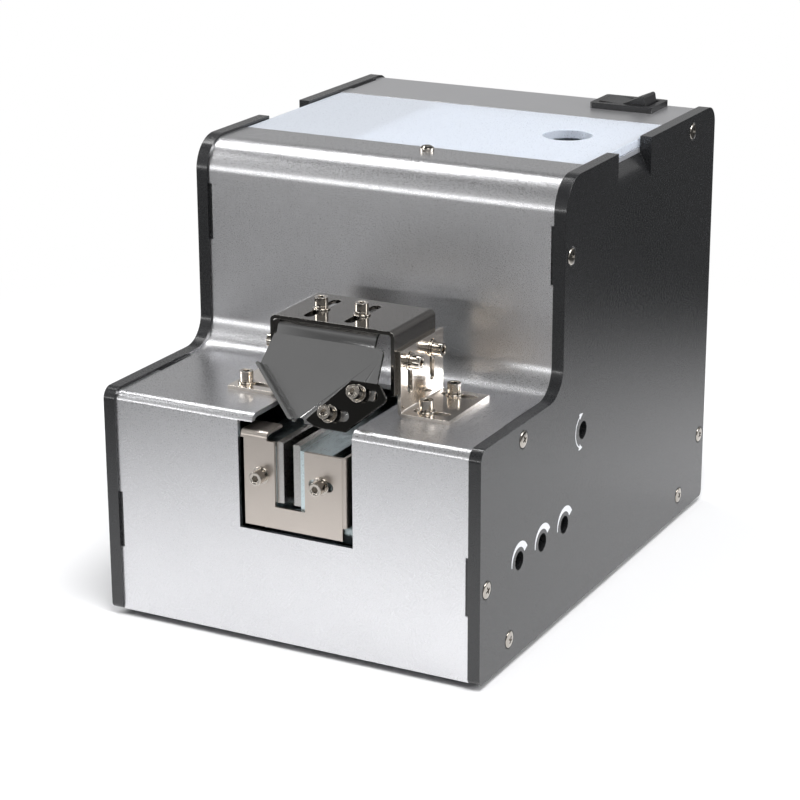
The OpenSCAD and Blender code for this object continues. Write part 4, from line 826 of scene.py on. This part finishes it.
@dataclass
class DialMarks:
    """White prints on the right panel: a wedge arc over each adjuster and a two-ended arc at the gate."""

    inner_r_mm: float = 4.0
    outer_r_mm: float = 6.4
    thickness_mm: float = 0.03
    steps: int = 24

    def build(self) -> None:
        """Builds the four prints as one piece."""
        face_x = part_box("side_panel_right")[1].x
        made = []
        for node in ("speed_rotor", "vibration_rotor", "roller_rotor"):
            middle = sum(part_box(node), Vector()) / 2
            made.append(self._wedge(Vector((face_x, middle.y, middle.z))))
        gate = sum(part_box("gate_screw"), Vector()) / 2
        made.append(self._gate_arc(Vector((face_x, gate.y, gate.z))))
        marks = Bench.join("dial_marks", made)
        dress(marks, WHITE_PRINT, "root")

    def _band(self, name: str, at: Vector, angles: Sequence[float], widths: Sequence[float],
              middle_r: float) -> bpy.types.Object:
        """Draws a flat band along an arc, from a plane that is extruded step by step.

        Args:
            name: the new object's name.
            at: centre of the arc, on the panel's face.
            angles: angle of each step in degrees, from +Y towards +Z.
            widths: width of the band at each step.
            middle_r: radius of its middle line.

        Returns:
            The band.
        """
        work = bmesh.new()
        lift = self.thickness_mm * MM
        last = None
        for angle, width in zip(angles, widths):
            out = Vector((0, math.cos(math.radians(angle)), math.sin(math.radians(angle))))
            pair = [work.verts.new(at + Vector((lift, 0, 0)) + out * (middle_r + side * width / 2) * MM)
                    for side in (-1, 1)]
            if last is not None:
                work.faces.new((last[0], last[1], pair[1], pair[0]))
            last = pair
        bmesh.ops.recalc_face_normals(work, faces=work.faces)
        mesh = bpy.data.meshes.new(name)
        work.to_mesh(mesh)
        work.free()
        band = bpy.data.objects.new(name, mesh)
        bpy.context.collection.objects.link(band)
        if band.data.polygons[0].normal.x < 0:
            band.data.flip_normals()
        Bench.pick(band)
        skin = band.modifiers.new("skin", "SOLIDIFY")
        skin.thickness = lift * 0.9
        skin.offset = -1.0
        Bench.apply(band)
        return band

    def _wedge(self, at: Vector) -> bpy.types.Object:
        """The arc over an adjuster, thin at its start and thick at its end."""
        start, end = 188.0, 28.0
        angles = [start + (end - start) * i / self.steps for i in range(self.steps + 1)]
        widths = [0.4 + 2.0 * (i / self.steps) for i in range(self.steps + 1)]
        return self._band("wedge", at, angles, widths, (self.inner_r_mm + self.outer_r_mm) / 2)

    def _gate_arc(self, at: Vector) -> bpy.types.Object:
        """The arc in front of the gate hole, with an arrowhead at each end."""
        start, end = 118.0, 242.0
        angles = [start + (end - start) * i / self.steps for i in range(self.steps + 1)]
        arc = self._band("gate_arc", at, angles, [0.42] * (self.steps + 1), 5.6)
        heads = []
        for tip, turn in ((start, -1), (end, 1)):
            span = [tip + turn * 26.0 * i / 6 for i in range(7)]
            widths = [2.1 * (1 - i / 6) + 0.02 for i in range(7)]
            heads.append(self._band("arrow", at, span, widths, 5.6))
        return Bench.join("gate_mark", [arc, *heads])


@dataclass
class Hopper:
    """Lid, hopper and what turns in it."""

    def build(self) -> None:
        """Builds the hopper's pieces."""
        soften("hopper_lid", FROSTED_LID, 0.35, 3)
        soften("hopper", HOPPER_GREY, 0.25)
        soften("scoop_wheel", WHEEL_PLASTIC, 0.2)
        for node, finish in (("wheel_gear", GEAR_NYLON), ("brush_gear", GEAR_NYLON), ("wheel_shaft", RAIL_STEEL),
                             ("brush_shaft", RAIL_STEEL), ("shaft_bushes", BRONZE_BUSH),
                             ("mechanism_plate", MOTOR_SILVER), ("gear_motor", MOTOR_SILVER),
                             ("brush_roller", BRISTLE)):
            paint_node(node, finish)


@dataclass
class Switch:
    """Rocker switch and power inlet."""

    edge_mm: float = 0.3

    def build(self) -> None:
        """Builds the switch's pieces."""
        soften("rocker_housing", SWITCH_BLACK, self.edge_mm, 3)
        soften("rocker_paddle", SWITCH_BLACK, self.edge_mm, 3)
        soften("power_inlet", SWITCH_BLACK, 0.15)


@dataclass
class Track:
    """Rails, their blocks, the exit plate and the gate screw."""

    def build(self) -> None:
        """Builds the track's pieces."""
        soften("rail_left", RAIL_STEEL, 0.15)
        soften("rail_right", RAIL_STEEL, 0.15)
        soften("rail_block_left", ZINC_BLOCK, 0.3)
        soften("rail_block_right", ZINC_BLOCK, 0.3)
        soften("rail_carrier", ZINC_BLOCK, 0.3)
        soften("exit_plate", WARM_NICKEL, 0.18, 3)
        soften("gate_screw", NICKEL_SCREW, 0.2)
        paint_node("guide_pins", RAIL_STEEL)


@dataclass
class Drive:
    """Vibration drive under the track, and the control board."""

    def build(self) -> None:
        """Builds the drive's pieces."""
        for node, finish in (("rubber_isolators", BLACK_RUBBER), ("spring_base", CAST_GREY),
                             ("leaf_springs", SPRING_STEEL), ("lower_clamps", SPRING_STEEL),
                             ("upper_clamps", SPRING_STEEL), ("magnet_core", MAGNET_IRON),
                             ("magnet_coil", COPPER_WINDING), ("armature", MAGNET_IRON),
                             ("board_bracket", MOTOR_SILVER), ("control_board", BOARD_GREEN),
                             ("board_components", COMPONENT_BLACK), ("trimmer_bodies", TRIMMER_BLUE),
                             ("speed_rotor", ROTOR_WHITE), ("vibration_rotor", ROTOR_WHITE),
                             ("roller_rotor", ROTOR_WHITE)):
            paint_node(node, finish)


@dataclass
class GuideHead:
    """Hood, brackets, bit guide and jaw over the exit."""

    edge_mm: float = 0.2

    def build(self) -> None:
        """Builds the guide head's pieces."""
        # The hood takes the darkened nickel, whose colour holds a painted dark reflection.
        soften("hood", HOOD_NICKEL_PAINTED_DARK, self.edge_mm, 3)
        soften("hood_bracket_left", BRIGHT_NICKEL, self.edge_mm, 3)
        soften("hood_bracket_right", BRIGHT_NICKEL, self.edge_mm, 3)
        soften("bit_guide", GUIDE_SATIN, self.edge_mm, 3)
        soften("guide_jaw", JAW_NICKEL, 0.3, 3)


# ---------------------------------------------------------------- light and camera


@dataclass
class Lamp:
    """One soft light."""

    name: str
    at: Point
    aim: Point
    size: tuple[float, float]
    watts: float

    def build(self) -> None:
        """Adds the light."""
        data = bpy.data.lights.new(self.name, "AREA")
        data.shape = "RECTANGLE"
        data.size, data.size_y = self.size
        data.energy = self.watts
        lamp = bpy.data.objects.new(self.name, data)
        bpy.context.collection.objects.link(lamp)
        lamp.location = self.at
        lamp.rotation_euler = (Vector(self.aim) - Vector(self.at)).to_track_quat("-Z", "Y").to_euler()


@dataclass
class Studio:
    """Camera, floor, lamps and world."""

    azimuth_deg: float = 27.745
    elevation_deg: float = 18.580
    roll_deg: float = -0.209
    lens_mm: float = 110.44
    eye: Point = (0.35208, -0.68403, 0.31387)
    ambient: float = 0.24
    near_m: float = 0.13
    far_m: float = 0.39
    floor_in_metal: float = 0.07
    backdrop_in_metal: float = 0.42
    ceiling_in_metal: float = 0.10
    lamps: tuple[Lamp, ...] = (
        Lamp("key", (-0.85, -0.30, 0.55), (0.0, -0.05, 0.05), (0.4, 0.4), 6.5),
        Lamp("top", (0.30, -0.25, 0.90), (0.0, 0.0, 0.05), (0.45, 0.45), 7.5),
        Lamp("side", (0.70, 0.30, 0.45), (0.1, 0.1, 0.0), (0.4, 0.4), 3.6),
        Lamp("front_strip", (-0.44, -0.90, 0.13), (0.0, 0.0, 0.08), (0.5, 0.05), 0.8),
        Lamp("high_strip", (-0.40, 0.13, 0.85), (0.0, -0.03, 0.12), (0.45, 0.10), 1.6),
    )

    def build(self) -> None:
        """Sets up the studio."""
        self._camera()
        self._floor()
        self._world()
        for lamp in self.lamps:
            lamp.build()
        bpy.context.scene.view_settings.view_transform = "Standard"

    def _camera(self) -> None:
        """Adds the camera at its measured place."""
        turn, lift, roll = (math.radians(a) for a in (self.azimuth_deg, self.elevation_deg, self.roll_deg))
        back = Vector((math.sin(turn) * math.cos(lift), -math.cos(turn) * math.cos(lift), math.sin(lift)))
        right = (-back).cross(Vector((0, 0, 1))).normalized()
        up = right.cross(-back)
        rolled_right = math.cos(roll) * right + math.sin(roll) * up
        rolled_up = -math.sin(roll) * right + math.cos(roll) * up
        data = bpy.data.cameras.new("camera")
        data.sensor_width = 36.0
        data.lens = self.lens_mm
        data.clip_start = 0.05
        data.clip_end = 20.0
        camera = bpy.data.objects.new("camera", data)
        bpy.context.collection.objects.link(camera)
        basis = Matrix((rolled_right, rolled_up, back)).transposed().to_4x4()
        camera.matrix_world = Matrix.Translation(Vector(self.eye)) @ basis
        bpy.context.scene.camera = camera

    def _floor(self) -> None:
        """Adds the pale floor: it keeps the shadow near the object and fades to white further out."""
        Bench.clear_selection()
        bpy.ops.mesh.primitive_plane_add(size=8.0, location=(0, 0, 0))
        floor = bpy.context.object
        floor.name = "floor"
        made = bpy.data.materials.new("floor_white")
        made.use_nodes = True
        tree = made.node_tree
        tree.nodes.clear()
        place = tree.nodes.new("ShaderNodeTexCoord")
        reach = tree.nodes.new("ShaderNodeVectorMath")
        reach.operation = "LENGTH"
        tree.links.new(place.outputs["Object"], reach.inputs[0])
        fade = tree.nodes.new("ShaderNodeMapRange")
        fade.interpolation_type = "SMOOTHSTEP"
        fade.inputs["From Min"].default_value = self.near_m
        fade.inputs["From Max"].default_value = self.far_m
        tree.links.new(reach.outputs["Value"], fade.inputs["Value"])
        path = tree.nodes.new("ShaderNodeLightPath")
        seen = tree.nodes.new("ShaderNodeMath")
        seen.operation = "MAXIMUM"
        tree.links.new(path.outputs["Is Camera Ray"], seen.inputs[0])
        tree.links.new(path.outputs["Is Glossy Ray"], seen.inputs[1])
        shown = tree.nodes.new("ShaderNodeMath")
        shown.operation = "MULTIPLY"
        tree.links.new(fade.outputs["Result"], shown.inputs[0])
        tree.links.new(seen.outputs["Value"], shown.inputs[1])
        level = tree.nodes.new("ShaderNodeMapRange")
        level.inputs["To Min"].default_value = self.floor_in_metal
        level.inputs["To Max"].default_value = 1.0
        tree.links.new(path.outputs["Is Camera Ray"], level.inputs["Value"])
        cloth = tree.nodes.new("ShaderNodeBsdfDiffuse")
        cloth.inputs["Color"].default_value = (0.84, 0.84, 0.845, 1.0)
        glow = tree.nodes.new("ShaderNodeEmission")
        glow.inputs["Color"].default_value = (1.0, 1.0, 1.0, 1.0)
        tree.links.new(level.outputs["Result"], glow.inputs["Strength"])
        blend = tree.nodes.new("ShaderNodeMixShader")
        tree.links.new(shown.outputs["Value"], blend.inputs["Fac"])
        tree.links.new(cloth.outputs["BSDF"], blend.inputs[1])
        tree.links.new(glow.outputs["Emission"], blend.inputs[2])
        output = tree.nodes.new("ShaderNodeOutputMaterial")
        tree.links.new(blend.outputs["Shader"], output.inputs["Surface"])
        floor.data.materials.append(made)

    def _world(self) -> None:
        """Lights evenly from all round; the camera sees white, and metal sees a dimmer surround."""
        world = bpy.data.worlds.new("studio")
        bpy.context.scene.world = world
        world.use_nodes = True
        tree = world.node_tree
        tree.nodes.clear()
        place = tree.nodes.new("ShaderNodeTexCoord")
        axes = tree.nodes.new("ShaderNodeSeparateXYZ")
        tree.links.new(place.outputs["Generated"], axes.inputs["Vector"])
        height = tree.nodes.new("ShaderNodeMapRange")
        height.interpolation_type = "SMOOTHSTEP"
        height.inputs["From Min"].default_value = 0.30
        height.inputs["From Max"].default_value = 0.75
        height.inputs["To Min"].default_value = self.backdrop_in_metal
        height.inputs["To Max"].default_value = self.ceiling_in_metal
        tree.links.new(axes.outputs["Z"], height.inputs["Value"])
        path = tree.nodes.new("ShaderNodeLightPath")
        clear = tree.nodes.new("ShaderNodeMath")
        clear.operation = "MAXIMUM"
        tree.links.new(path.outputs["Is Camera Ray"], clear.inputs[0])
        tree.links.new(path.outputs["Is Transmission Ray"], clear.inputs[1])
        soft = tree.nodes.new("ShaderNodeBackground")
        soft.inputs["Color"].default_value = (0.93, 0.95, 1.0, 1.0)
        soft.inputs["Strength"].default_value = self.ambient
        mirrored = tree.nodes.new("ShaderNodeBackground")
        mirrored.inputs["Color"].default_value = (1.0, 1.0, 1.0, 1.0)
        tree.links.new(height.outputs["Result"], mirrored.inputs["Strength"])
        white = tree.nodes.new("ShaderNodeBackground")
        white.inputs["Color"].default_value = (1.0, 1.0, 1.0, 1.0)
        white.inputs["Strength"].default_value = 1.0
        first = tree.nodes.new("ShaderNodeMixShader")
        tree.links.new(path.outputs["Is Glossy Ray"], first.inputs["Fac"])
        tree.links.new(soft.outputs["Background"], first.inputs[1])
        tree.links.new(mirrored.outputs["Background"], first.inputs[2])
        last = tree.nodes.new("ShaderNodeMixShader")
        tree.links.new(clear.outputs["Value"], last.inputs["Fac"])
        tree.links.new(first.outputs["Shader"], last.inputs[1])
        tree.links.new(white.outputs["Background"], last.inputs[2])
        output = tree.nodes.new("ShaderNodeOutputWorld")
        tree.links.new(last.outputs["Shader"], output.inputs["Surface"])


def main() -> None:
    """Builds every sub-assembly in order."""
    logging.basicConfig(level=logging.INFO, format="%(name)s: %(message)s")
    for part in (Studio(), Case(), Hopper(), Switch(), Track(), Drive(), GuideHead(),
                 Fasteners(), DialMarks()):
        part.build()
        LOG.info("%s is in place", type(part).__name__)


if __name__ == "__main__":
    main()
